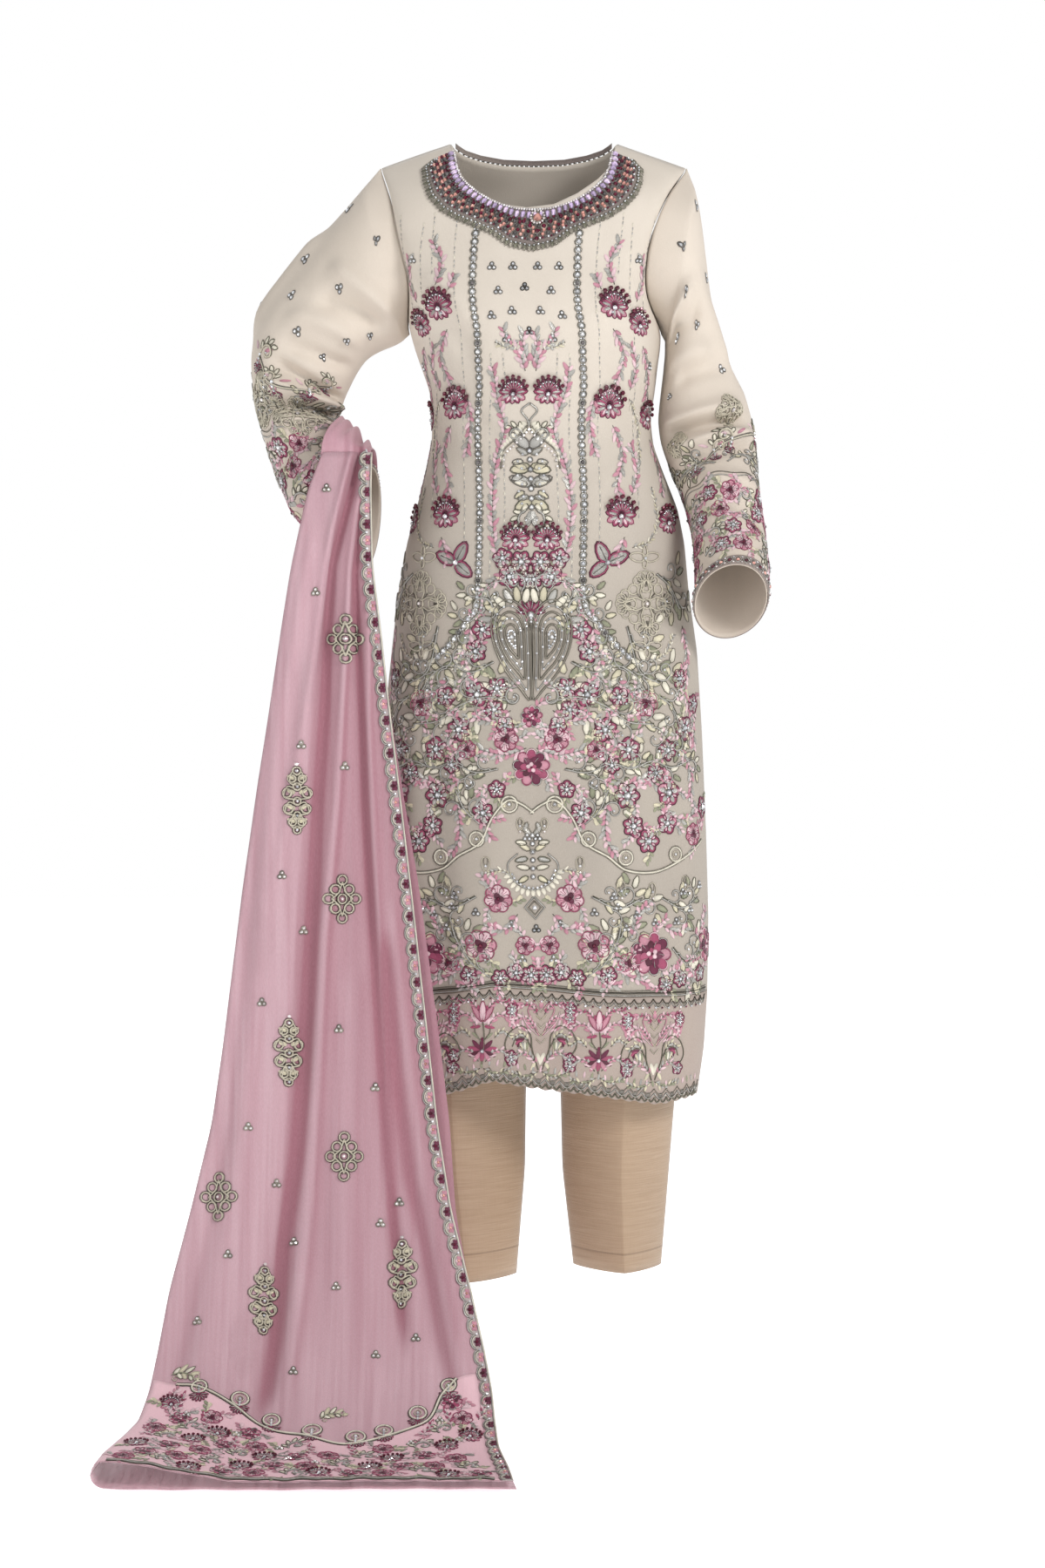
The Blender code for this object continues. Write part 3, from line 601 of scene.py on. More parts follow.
trousers = {  # in mm, with the numbers of rows and of columns on each side of the crease
    "thick": 1.2, "rows": 72, "columns": 16, "ends": {"left": -1314, "right": -1325}, "sideSeam": 1.6,
    "folds": 0.8, "stitchUp": 45, "stitchWide": 2.2, "stitchDeep": 1.3,
}
waist = {  # in mm; squareness is 1 for an ellipse
    "thick": 1.2, "around": 160, "rows": 6, "top": -362, "low": -401, "middle": (12, -5),
    "half": (124.5, 78.5), "squareness": 0.9, "ruffle": 1.4, "gathers": 46,
}


def legShell(wearer, side):
    raw = {**legProfile, **legTables[wearer], "z": (*legProfile["z"], trousers["ends"][wearer])}
    table = smoothTable(raw, "z", 2.0, 8.0)
    sign = -1.0 if side == "front" else 1.0
    zs = np.linspace(raw["z"][0], raw["z"][-1], trousers["rows"])
    get = lambda name: column(table, name, "z", zs)[:, None]
    steps = np.sin(np.linspace(0, math.pi / 2, trousers["columns"], endpoint=False))[None, :]
    creaseX, creaseY, round_ = get("creaseX"), get(side), get("round")
    seam, halves = sign * trousers["sideSeam"], []
    for endX, endY in ((get("inX"), seam + creaseY * get("rise")), (get("outX"), seam + 0 * creaseY)):
        part = steps ** (2 / round_)
        bulge = (1 - (1 - part) ** round_) ** (1 / round_)
        halves.append((endX + (creaseX - endX) * part, endY + (creaseY - endY) * bulge))
    inner, outer = halves
    x = np.concatenate([inner[0], creaseX, outer[0][:, ::-1]], axis=1)
    y = np.concatenate([inner[1], creaseY, outer[1][:, ::-1]], axis=1)
    z = zs[:, None] + 0 * x
    y = y + sign * creaseField(x, z, legFolds[wearer]) * trousers["folds"]
    stitches = bump(z - zs[-1] - trousers["stitchUp"], trousers["stitchWide"])
    y = y - sign * trousers["stitchDeep"] * stitches  # the stitch line of the turned hem is pressed in
    sewCloth(f"trouser{side.capitalize()}{wearer.capitalize()}", np.stack([x, y, z], axis=-1),
        lambda c: c * (0, 1, 0), ("raw_silk", rawSilk, f"trouser_{side}_{wearer}"), thick=trousers["thick"],
        uv=np.stack([x, z], axis=-1))


def waistShell():
    turns = np.linspace(0, 2 * math.pi, waist["around"], endpoint=False)[None, :]
    zs = np.linspace(waist["top"], waist["low"], waist["rows"])[:, None]
    down = (zs - waist["top"]) / (waist["low"] - waist["top"])
    ruffle = waist["ruffle"] * np.sin(turns * waist["gathers"]) * np.sin(down * math.pi)
    sides = []
    for middle, half, wave in zip(waist["middle"], waist["half"], (np.cos(turns), np.sin(turns))):
        sides.append(middle + (half + ruffle) * np.sign(wave) * np.abs(wave) ** waist["squareness"])
    points = np.stack(np.broadcast_arrays(*sides, zs), axis=-1)
    sewCloth("trouserWaist", points, lambda c: c * (1, 1, 0) - (*waist["middle"], 0),
        ("raw_silk", rawSilk, "trouser_waistband"), closed=True, thick=waist["thick"])


for wearer in ("left", "right"):
    for side in ("front", "back"):
        legShell(wearer, side)
waistShell()
print("trousers made")


# Dupatta.

fallTable = {
    "z": (-362, -402, -491, -560, -649, -738, -856, -1031, -1118, -1213, -1295, -1352, -1395, -1426, -1440,
        -1444, -1446),
    "y": (-108, -113, -124, -130, -136, -142, -150, -172, -188, -213, -243, -272, -304, -345, -390, -448,
        -505),
    "left": (-239, -255, -274, -285, -298, -312, -329, -350, -362, -384, -405, -414, -421, -431, -446, -458,
        -462),
    "right": (-183, -184, -182, -173, -163, -152, -138, -118, -108, -92, -70, -56, -46, -42, -38, -28, -22),
    "under": (0, 0, 0, 0, 0, 3, 9, 13, 14, 5, 0, 0, 0, 0, 0, 2, 4),
    "loft": (3, 8, 12, 12, 12, 12, 12, 12, 12, 12, 12, 12, 11, 10, 9, 8, 8),
    "corner": (0, 0, 0, 0, 0, 0, 0, 0, 0, 0, 0, 0, 2, 6, 14, 20, 20),
}
fallRun = np.concatenate([[0], np.cumsum(np.hypot(np.diff(fallTable["z"]), np.diff(fallTable["y"])))])
fall = smoothTable({"run": fallRun, **fallTable}, "run", 2.0, 10.0)
fallLength = fallRun[-1]
layers = {"thick": 0.5, "columns": 84, "rows": 160, "underFolds": 0.85, "underDeep": -6.0, "floor": -1453.5}
overArm = {"thick": 0.6, "columns": 50, "rows": 60, "inner": -184, "wide": -37, "spread": -20,
    "front": -108, "deep": 180, "top": -356, "rise": 39, "foot": -364, "drop": -37}
backFall = {"thick": 0.5, "columns": 80, "rows": 70, "length": 941, "top": -404, "y": 68, "folds": 9}
foldLines = [  # (distances, xs, width at top, width at bottom, height)
    ((0, 90, 220, 360, 500), (-206, -228, -246, -268, -292), 5, 15, 4.5),
    ((0, 130, 200, 290, 400, 550, 690, 800, 900, 1010, 1100), (-196, -229, -234, -238, -246, -254, -262,
        -270, -284, -292, -300), 5, 20, -8.5),
    ((0, 130, 290, 400, 550, 690, 850, 960, 1080), (-190, -206, -216, -222, -236, -243, -252, -262, -276),
        4, 16, 6.0),
    ((60, 140, 230, 310, 400, 500, 650, 800, 900, 1000), (-196, -203, -199, -195, -192, -186, -176, -166,
        -156, -146), 4, 11, -8.0),
    ((0, 160, 300, 480, 700, 850), (-193, -186, -186, -178, -168, -160), 4, 10, 4.0),
    ((560, 700, 820, 900, 1010, 1090), (-170, -158, -142, -122, -102, -84), 8, 16, -5.0),
    ((520, 700, 860, 1000, 1100), (-160, -140, -118, -92, -66), 8, 14, 3.6),
    ((100, 300, 520, 760, 960, 1060), (-252, -286, -306, -326, -356, -372), 6, 20, 3.5),
    ((300, 520, 760, 960, 1070), (-300, -322, -342, -380, -396), 6, 16, -3.6),
    ((600, 760, 960, 1080), (-208, -212, -214, -214), 16, 26, 3.0),
    ((640, 800, 960, 1080), (-320, -330, -340, -344), 14, 22, 3.4),
]


def fallAt(name, run):
    return column(fall, name, "run", run)


def foldFade(runs, run):  # a fold fades in over 50 mm and out over 80 mm
    return ease((run - runs[0] + 30) / 50) * ease((runs[-1] + 40 - run) / 80)


def foldHeight(x, run):
    total = np.zeros(np.broadcast(x, run).shape)
    for runs, xs, top, low, high in foldLines:
        line = np.interp(run, runs, xs)
        wide = top + (low - top) * run / fallLength
        total = total + high * bump(x - line, wide) * foldFade(runs, run)
    ripple = 1.5 * np.sin(x / 19.0 + run / 160.0) + 1.0 * np.sin(x / 9.0 - run / 110.0 + 1.3)
    lies = ease((run - 1040) / 90)
    flatBump = 2.2 * np.sin(x / 31.0 + 0.6) * np.sin(run / 26.0 + x / 60.0) * lies
    edge = ease((fallAt("right", run) - x) / 16.0)
    return (total * (1 - 0.9 * lies) + ripple * (1 - 0.6 * lies)) * edge + flatBump * 0.6


def foldShade(x, run):  # painted light and shade of the folds: painted highlights on the folds and painted shade beside them; below 0 where the cloth dips or is doubled (a real denser layer, darkened further by painted shade), above 0 where it is single
    total = np.zeros(np.broadcast(x, run).shape)
    for runs, xs, top, low, high in foldLines:
        line = np.interp(run, runs, xs)
        wide = (top + (low - top) * run / fallLength) * 0.5
        edge = np.clip((x - line) / wide, -3, 3)
        # a painted highlight on the fold and painted shade just to one side of it
        light, dark = 0.085 * high * np.exp(-edge ** 2), 0.065 * abs(high) * np.exp(-(edge - 1.2) ** 2)
        total = total + foldFade(runs, run) * (light - dark)
    doubled = np.interp(run, (0, 200, 420, 600, 800, 1000, 1100),
        (-215, -240, -262, -272, -282, -292, -300))
    band = ease((x - doubled + 3) / 6) * ease((1120 - run) / 160)
    # painted shade over the doubled band, painted lightening over the single part
    return total - 0.24 * band * ease((1000 - run) / 500) + 0.30 * (1 - band)


class FallCloth:
    def __init__(self, layer):
        self.layer = layer

    def at(self, x, run, lift=0.0):
        run = np.asarray(run, float)
        y, z = fallAt("y", run), fallAt("z", run)
        dy, dz = (fallAt(axis, run + 6) - fallAt(axis, run - 6) for axis in "yz")
        size = np.hypot(dy, dz)
        left, right = fallAt("left", run), fallAt("right", run)
        part = np.clip((right - x) / (right - left), 0, 1)
        loft = fallAt("loft", run)
        corner = fallAt("corner", run) * ease((part - 0.62) / 0.34)
        radius = (loft + corner) / 2
        closing = np.sqrt(np.clip(1 - np.clip((left + radius - x) / radius, 0, 1) ** 2, 0, 1))
        sign = 1.0 if self.layer == 0 else -1.0
        folds = foldHeight(x, run) * (layers["underFolds"] if self.layer else 1.0)
        height = folds + corner * 0.5 + sign * radius * closing
        if self.layer:
            height = np.maximum(height, layers["underDeep"])
        out = np.stack([np.zeros_like(y), dz / size, -dy / size], axis=-1)
        base = np.stack(np.broadcast_arrays(x, y, z), axis=-1)
        place = base + out * (height + lift)[..., None]
        place[..., 2] = np.maximum(place[..., 2], layers["floor"])
        return place


def layerShell(name, cloth, *finish):
    runs = np.linspace(0, fallLength, layers["rows"])
    left, right = fallAt("left", runs), fallAt("right", runs)
    if cloth.layer:
        right = right + fallAt("under", runs)
    part = np.linspace(0, 1, layers["columns"]) ** 0.85
    part = 1 - (1 - part) ** 1.25  # closer columns at the lengthwise fold
    x = right[:, None] + (left - right)[:, None] * part[None, :]
    run = runs[:, None] + 0 * x
    sewCloth(name, cloth.at(x, run), (0.0, -1.0, 0.3), finish, thick=layers["thick"],
        uv=np.stack([x, run], axis=-1), depth=foldShade(x, runs[:, None]))


def overArmShell():
    turns = np.linspace(0, math.pi, overArm["rows"])[:, None]
    parts = np.linspace(0, 1, overArm["columns"])[None, :]
    sine, forward = np.sin(turns), 1 - np.cos(turns)
    x = overArm["inner"] + (overArm["wide"] + overArm["spread"] * (1 - sine)) * parts
    crown, foot = overArm["top"] + overArm["rise"] * parts, overArm["foot"] + overArm["drop"] * forward / 2
    y = overArm["front"] + overArm["deep"] * forward / 2
    z = foot + (crown - foot) * sine ** 0.5
    gathers = 1.6 * np.sin(parts * 23 + 1.5 * turns)
    fold = foldHeight(overArm["inner"] - 55 * parts, 20 + 0 * turns) * 0.8 + gathers
    fold = fold * ease(parts * 8) * ease((1 - parts) * 8)
    front = ease(1 - turns / 0.9)
    fold = fold * (1 - front) + (foldHeight(x, 0.0) + 1.2) * front
    y, z = y - fold * np.cos(turns), z + fold * sine
    points = np.stack(np.broadcast_arrays(x, y, z), axis=-1)
    sewCloth("dupattaOverArm", points, lambda c: c - (-205, -20, -400),
        ("rose_chiffon", roseOpaque, "dupatta_over_arm"), thick=overArm["thick"],
        uv=np.stack([x + 0 * z, z], axis=-1), depth=foldShade(x, 0.0) + 0 * z)


def backFallShell():
    runs = np.linspace(0, backFall["length"], backFall["rows"])[:, None]
    parts = np.linspace(0, 1, backFall["columns"])[None, :]
    left = np.interp(runs, (0, 116, 336, 616, 941), (-252, -264, -280, -296, -316))
    right = np.interp(runs, (0, 116, 216, 616, 941), (-190, -204, -207, -207, -204))
    x = right + (left - right) * parts
    y = backFall["y"] + backFall["folds"] * np.sin(parts * 2 * math.pi * 3.2 + 0.25 * np.sin(runs / 120))
    y = y + 2.5 * np.sin(parts * 47 + runs / 90)
    z = backFall["top"] - runs - 5 * np.sin(parts * 7)
    points = np.stack(np.broadcast_arrays(x, y, z), axis=-1)
    sewCloth("dupattaBackFall", points, (0.0, 1.0, 0.0), ("rose_chiffon", roseUnder, "dupatta_back_fall"),
        thick=layers["thick"], uv=np.stack(np.broadcast_arrays(x, runs), axis=-1))


upperCloth, underCloth = FallCloth(0), FallCloth(1)
layerShell("dupattaUpperLayer", upperCloth, "rose_chiffon", roseChiffon, "dupatta_front_fall")
layerShell("dupattaUnderLayer", underCloth, "rose_chiffon", roseUnder)
overArmShell()
backFallShell()
print("dupatta made")


# Embroidery: stitches are drawn flat in mm on a cloth and then laid on its surface.

palette = {  # colour and the finish that it is worked in
    "maroon": (srgb(104, 30, 62), "silk"), "deepMaroon": (srgb(84, 22, 46), "silk"),
    "rose": (srgb(162, 72, 104), "silk"), "pink": (srgb(200, 140, 156), "silk"),
    "palePink": (srgb(228, 196, 202), "silk"), "blush": (srgb(238, 212, 210), "silk"),
    "cream": (srgb(216, 208, 180), "silk"),
    "ivory": (srgb(232, 226, 208), "silk"), "oliveLeaf": (srgb(150, 152, 126), "silk"),
    "olive": (srgb(122, 120, 104), "metal"), "pewter": (srgb(130, 126, 120), "metal"),
    "silver": (srgb(186, 184, 178), "metal"), "antique": (srgb(150, 144, 132), "metal"),
    "gold": (srgb(204, 196, 176), "silk"), "darkBraid": (srgb(84, 80, 70), "metal"),
    "maroonBead": (srgb(92, 18, 44), "glass"), "crystal": (srgb(214, 216, 220), "glass"),
    "lilac": (srgb(206, 184, 222), "glass"), "peach": (srgb(218, 158, 146), "glass"),
    "pewterBead": (srgb(120, 112, 108), "glass"), "pearl": (srgb(236, 228, 226), "glass"),
    "smoke": (srgb(96, 92, 92), "glass"),
}


def makeStitch(name, lines, **sockets):  # its colour comes from each stitch, together with that stitch's painted highlights and shade
    f = Finish(name, **sockets)
    shade = f.node("ShaderNodeAttribute", {"attribute_name": "shade"})
    if not lines:
        f.set("Base_Color", shade)
        return f.material
    grain = f.place(own="grain")
    strand = f.node("ShaderNodeTexWave", {"wave_type": "BANDS", "bands_direction": "X"},
        {"Vector": grain, "Scale": lines, "Distortion": 1.4, "Detail": 1.0})
    # painted shade in stripes between the thread strands, down to 0.42 of the colour
    f.set("Base_Color", f.mix(strand * 0.34, shade, f.mix(1.0, shade, (0.42, 0.40, 0.40), "MULTIPLY")))
    f.bumpFrom(strand, 0.4, 0.0004)
    return f.material


stitchFinishes = {
    "silk": makeStitch("silkThread", 0.55, Roughness=0.42, Specular_IOR_Level=0.45, Sheen_Weight=0.15),
    "metal": makeStitch("metalThread", 0.9, Roughness=0.36, Metallic=0.55),
    "glass": makeStitch("cutGlass", 0, Roughness=0.16, Metallic=0.2, Specular_IOR_Level=0.6,
        Coat_Weight=0.3),
}


class Facing:  # a cloth as its embroiderer sees it: x to the right of a middle line, y up
    def __init__(self, cloth, flip=1, down=1, middle=((0, 0),)):
        self.cloth, self.flip, self.down = cloth, flip, down
        self.heights, self.shifts = zip(*sorted(middle))

    def at(self, a, b):
        return self.cloth.at(a * self.flip + np.interp(b, self.heights, self.shifts), b * self.down)


def prototype(kind):  # one stitch, 1 mm wide, 1 mm long and 1 mm high, with a tone of painted light for each of its corners
    shape = bmesh.new()
    if kind == "petal":
        bmesh.ops.create_circle(shape, cap_ends=True, cap_tris=True, segments=10, radius=0.5)
        for v in shape.verts:
            centre = v.co.length < 0.1
            v.co.x *= 1.0 - 0.45 * (v.co.y + 0.1)
            v.co.y += 0.5
            v.co.z = 1.0 if centre else 0.15
        # painted highlight on the raised middle of the petal, painted shade at its rim, darkest at the base
        tone = lambda v: 1.12 if v.co.z > 0.5 else 0.72 + 0.3 * v.co.y
    elif kind == "bead":
        bmesh.ops.create_icosphere(shape, subdivisions=1, radius=0.5)
        bmesh.ops.translate(shape, verts=shape.verts, vec=(0, 0, 0.42))
        # painted light: the top of the bead lighter, its underside darker
        tone = lambda v: 0.7 + 0.5 * max(v.co.z, 0)
    elif kind == "gem":
        bmesh.ops.create_cone(shape, cap_ends=True, segments=6, radius1=0.5, radius2=0.27, depth=1.0)
        bmesh.ops.translate(shape, verts=shape.verts, vec=(0, 0, 0.5))
        low = [f for f in shape.faces if all(v.co.z < 0.1 for v in f.verts)]
        bmesh.ops.delete(shape, geom=low, context="FACES_ONLY")
        # painted reflections: facets alternately dark and bright, the top brighter still
        order = {v.index: 0.55 if math.sin(3 * math.atan2(v.co.y,
            v.co.x) + 0.4) > 0 else 1.15 for v in shape.verts}
        tone = lambda v: (1.2 if v.co.z > 0.5 else 1.0) * (order.get(v.index, 1.0))
    else:  # a flat sequin with a rounded rim
        bmesh.ops.create_circle(shape, cap_ends=True, cap_tris=True, segments=10, radius=0.5)
        for v in shape.verts:
            v.co.z = 0.4 if v.co.length < 0.1 else 1.0
        rim = bmesh.ops.extrude_edge_only(shape, edges=[e for e in shape.edges if e.is_boundary])["geom"]
        for v in rim:
            if isinstance(v, bmesh.types.BMVert):
                v.co.x, v.co.y, v.co.z = v.co.x * 1.15, v.co.y * 1.15, 0.0
        # painted highlight on the raised ring of the sequin, painted shade in its dimple and at its rim
        tone = lambda v: 0.62 if v.co.z < 0.6 else 1.1
    bmesh.ops.triangulate(shape, faces=shape.faces)
    shape.verts.index_update()
    points = np.array([v.co[:] for v in shape.verts])
    tones = np.array([tone(v) for v in shape.verts])
    faces = np.array([[v.index for v in f.verts] for f in shape.faces])
    shape.free()
    return points, faces, tones


prototypes = {kind: prototype(kind) for kind in ("petal", "bead", "gem", "disc")}


class Stitching:  # every stitch on one cloth
    def __init__(self, name, cloth, lift=0.25):
        self.name, self.cloth, self.lift = name, cloth, lift
        self.stamps, self.threads = [], []
        self.random = np.random.default_rng(len(name) * 7 + 3)

    def lay(self, a, b, high):
        place = self.cloth.at(a, b)
        along, up = self.cloth.at(a + 0.6, b) - place, self.cloth.at(a, b + 0.6) - place
        normal = np.cross(along, up)
        normal /= np.maximum(np.linalg.norm(normal, axis=-1, keepdims=True), 1e-9)
        return place + normal * (high + self.lift)[:, None]

    def finish(self, slotName):
        for finish in ("silk", "metal", "glass"):
            flat, faces, colours, weave = [], [], [], []
            count = 0
            for kind, (points, tris, tones) in prototypes.items():
                rows = [s for s in self.stamps if s[0] == kind and palette[s[8]][1] == finish]
                if not rows:
                    continue
                x, y, ax, ay, wide, long_, high = (np.array([r[i] for r in rows], float)[:,
                    None] for i in range(1, 8))
                lift = np.array([r[9] for r in rows], float)[:, None]
                px, py = points[None, :, 0] * wide, points[None, :, 1] * long_
                flat.append(np.stack([x + px * ay + py * ax, y - px * ax + py * ay,
                    lift + points[None, :, 2] * high], axis=-1).reshape(-1, 3))
                spread = (0.88, 1.12) if kind == "petal" else (0.6, 1.3)
                jitter = self.random.uniform(*spread, (len(rows), 1))
                base = np.array([palette[r[8]][0] for r in rows])[:, None, :]
                # each corner gets the stitch colour times its painted light tone and a random tone for the
                # stitch
                colours.append((base * (tones[None, :, None] * jitter[:, :, None])).reshape(-1, 3))
                weave.append(np.stack(np.broadcast_arrays(px, py, 0 * px), axis=-1).reshape(-1, 3))
                shift = count + np.arange(len(rows)) * len(points)
                faces.append((tris[None] + shift[:, None, None]).reshape(-1, 3))
                count += len(rows) * len(points)
            for line, colour, wide, high, lift in self.threads:
                if palette[colour][1] != finish or len(line) < 2:
                    continue
                step = np.gradient(line, axis=0)
                size = np.maximum(np.linalg.norm(step, axis=1, keepdims=True), 1e-6)
                side = np.stack([step[:, 1], -step[:, 0]], axis=1) / size * wide / 2
                ring = np.stack([np.column_stack([line + side, np.full(len(line), lift)]),
                    np.column_stack([line, np.full(len(line), lift + high)]),
                    np.column_stack([line - side, np.full(len(line), lift)])], axis=1)
                flat.append(ring.reshape(-1, 3))
                # a random tone along the thread, with a painted highlight on its top edge and painted shade
                # on its two sides
                tone = self.random.uniform(0.85, 1.1, (len(line), 1, 1)) * np.array((0.78, 1.12,
                    0.78))[None, :, None]
                colours.append((np.array(palette[colour][0])[None, None] * tone).reshape(-1, 3))
                run = np.concatenate([[0], np.cumsum(size[1:, 0])])
                weave.append(np.stack(np.broadcast_arrays(np.array((-0.5, 0, 0.5))[None] * wide,
                    run[:, None], 0 * run[:, None]), axis=-1).reshape(-1, 3))
                first = count + 3 * np.arange(len(line) - 1)[:, None]
                for k in range(3):
                    m = (k + 1) % 3
                    faces.append(np.concatenate([first + k, first + m, first + m + 3], axis=1))
                    faces.append(np.concatenate([first + k, first + m + 3, first + k + 3], axis=1))
                last = count + 3 * (len(line) - 1)
                faces.append(np.array([[count, count + 2, count + 1], [last, last + 1, last + 2]]))
                count += 3 * len(line)
            if flat:
                self.join(finish, slotName, *map(np.concatenate, (flat, faces, colours, weave)))

    def join(self, finish, slotName, flat, faces, colours, weave):
        points = self.lay(flat[:, 0], flat[:, 1], flat[:, 2])
        name = self.name + finish.capitalize()
        mesh = bpy.data.meshes.new(name)
        mesh.from_pydata((points * mm).tolist(), [], faces.tolist())
        # shade: the stitch colour with its painted highlights and shade
        shade = mesh.attributes.new("shade", "FLOAT_COLOR", "POINT")
        rgba = np.ones((len(points), 4))
        rgba[:, :3] = np.clip(colours, 0, 1)
        shade.data.foreach_set("color", rgba.ravel())
        grain = mesh.attributes.new("grain", "FLOAT_VECTOR", "POINT")
        grain.data.foreach_set("vector", weave.ravel())
        if finish != "glass":
            mesh.polygons.foreach_set("use_smooth", np.ones(len(faces), bool))
        piece = bpy.data.objects.new(name, mesh)
        bpy.context.scene.collection.objects.link(piece)
        print(f"  {name}: {len(faces)} triangles")
        finishPiece(piece, slotName, stitchFinishes[finish])


class Needle:  # draws on a Stitching, moved, turned and scaled
    def __init__(self, work, x=0.0, y=0.0, angle=0.0, size=1.0, flip=1):
        self.work, self.x, self.y, self.angle, self.size, self.flip = work, x, y, angle, size, flip

    def on(self, x, y, angle=0.0, size=1.0, flip=1):
        px, py = self.spot(x, y)
        return Needle(self.work, px, py, self.turned(angle), self.size * size, self.flip * flip)

    def turned(self, angle):
        return self.angle + self.flip * angle

    def spot(self, x, y):
        a = math.radians(self.angle)
        x, y = x * self.size * self.flip, y * self.size
        return self.x + x * math.cos(a) + y * math.sin(a), self.y - x * math.sin(a) + y * math.cos(a)

    def stamp(self, kind, x, y, angle, wide, long_, high, colour, lift):
        px, py = self.spot(x, y)
        a = math.radians(self.turned(angle))
        s = self.size
        self.work.stamps.append((kind, px, py, math.sin(a), math.cos(a), wide * s, long_ * s, high, colour,
            lift))

    def petal(self, x, y, angle, length, wide, colour, lift=0.0, high=0.9):
        self.stamp("petal", x, y, angle, wide, length, high, colour, lift)

    def bead(self, x, y, across, colour, lift=0.0):
        self.stamp("bead", x, y, 0, across, across, across * self.size * 0.8, colour, lift)

    def gem(self, x, y, across, colour, lift=0.4, long_=None, angle=0):
        self.stamp("gem", x, y, angle, across, long_ or across, across * self.size * 0.35, colour, lift)

    def disc(self, x, y, across, colour, lift=0.0):
        self.stamp("disc", x, y, 0, across, across, 0.7, colour, lift)

    def thread(self, points, colour, wide=1.3, lift=0.0, high=None):
        line = np.array([self.spot(x, y) for x, y in points])
        self.work.threads.append((line, colour, wide * self.size, high or wide * self.size * 0.55, lift))


def curve(points, per=5):  # a smooth line through the points
    pts = np.array(points, float)
    pts = np.vstack([2 * pts[0] - pts[1], pts, 2 * pts[-1] - pts[-2]])
    out = []
    for i in range(1, len(pts) - 2):
        for t in np.arange(per) / per:
            a, b, c, d = pts[i - 1], pts[i], pts[i + 1], pts[i + 2]
            out.append(0.5 * (2 * b + (c - a) * t + (2 * a - 5 * b + 4 * c - d) * t * t +
                (3 * b - a - 3 * c + d) * t ** 3))
    return out + [pts[-2]]


class Path:  # a line measured along its length
    def __init__(self, points):
        self.line = np.array(points, float)
        self.run = runAlong(self.line)
        self.length = self.run[-1]

    def at(self, d):
        return [float(np.interp(d, self.run, self.line[:, i])) for i in (0, 1)]


def arc(x, y, radius, start, end, steps=10, squash=1.0):  # angles clockwise from straight up
    turns = np.radians(np.linspace(start, end, steps))
    return [(x + radius * math.sin(t), y + radius * squash * math.cos(t)) for t in turns]


def spiral(x, y, r0, r1, start, end, steps=16):
    share = np.linspace(0, 1, steps)
    return [(x + (r0 + (r1 - r0) * s) * math.sin(t), y + (r0 + (r1 - r0) * s) * math.cos(t)) for s,
        t in zip(share, np.radians(start + (end - start) * share))]


def leafLoop(x, y, angle, length, wide, steps=11):
    a = math.radians(angle)
    out = []
    for t in np.linspace(0, 2 * math.pi, steps):
        along, across = length * (1 - math.cos(t)) / 2, wide / 2 * math.sin(t) * (1 + 0.2 * math.cos(t))
        out.append((x + across * math.cos(a) + along * math.sin(a),
            y - across * math.sin(a) + along * math.cos(a)))
    return out


def toward(angle, distance):
    return distance * math.sin(math.radians(angle)), distance * math.cos(math.radians(angle))


# Motifs, each drawn about its own middle with up as +y.

def triDot(n, x, y, stone="crystal", ring="pewter"):
    for a in (0, 120, 240):
        dx, dy = toward(a, 2.9)
        n.disc(x + dx, y + dy, 5.0, ring)
        n.gem(x + dx, y + dy, 3.4, stone, lift=0.5)


def framedPetal(n, x, y, angle, length, wide, fill, core, edge):
    n.petal(x, y, angle, length, wide, fill)
    n.thread(leafLoop(x, y, angle, length * 1.04, wide * 1.05), edge, 1.3, 0.2)
    dx, dy = toward(angle, length * 0.22)
    n.petal(x + dx, y + dy, angle, length * 0.58, wide * 0.42, core, 0.7)


def fanFlower(n):
    for a in range(-75, 76, 25):
        framedPetal(n, 0, -4, a, 19, 9.5, "maroon", "rose", "deepMaroon")
    for a in range(-69, 70, 23):
        bx, by = toward(a, 20.5)
        n.bead(bx, by - 3, 6.4, "maroonBead", 0.4)
        n.thread([(toward(a, 5)[0], toward(a, 5)[1] - 3), (toward(a, 15)[0], toward(a, 15)[1] - 3)],
            "silver", 1.3, 1.2)
        n.bead(toward(a + 10, 13)[0], toward(a + 10, 13)[1] - 3, 2.6, "crystal", 1.0)
    for side in (-1, 1):
        framedPetal(n, side * 2, -5, side * 84, 18, 9, "rose", "silver", "maroon")
        framedPetal(n, side * 2, -6, side * 118, 17, 9.5, "pink", "silver", "rose")
        framedPetal(n, side * 2, -7, side * 150, 14, 8.5, "rose", "palePink", "maroon")
    framedPetal(n, 0, -7, 180, 13, 8, "pink", "silver", "maroon")
    n.gem(0, -7, 6.5, "crystal", 1.4)
    n.gem(-3, -13, 4.0, "crystal", 1.2)


def blossom(n, r, outer="rose", core="silver", edge="maroon", petals=6, stone="crystal"):
    for k in range(petals):
        a = 360 / petals * k + 12
        dx, dy = toward(a, r * 0.16)
        framedPetal(n, dx, dy, a, r * 0.92, r * 5.2 / petals, outer, core, edge)
        n.petal(*toward(a + 180 / petals, r * 0.3), a + 180 / petals, r * 0.62, r * 0.3, "palePink", -0.1)
    n.disc(0, 0, r * 0.62, "pewter", 0.8)
    n.gem(0, 0, r * 0.5, stone, 1.3)
    for k in range(5):
        n.bead(*toward(72 * k, r * 0.38), r * 0.2, "crystal", 1.0)


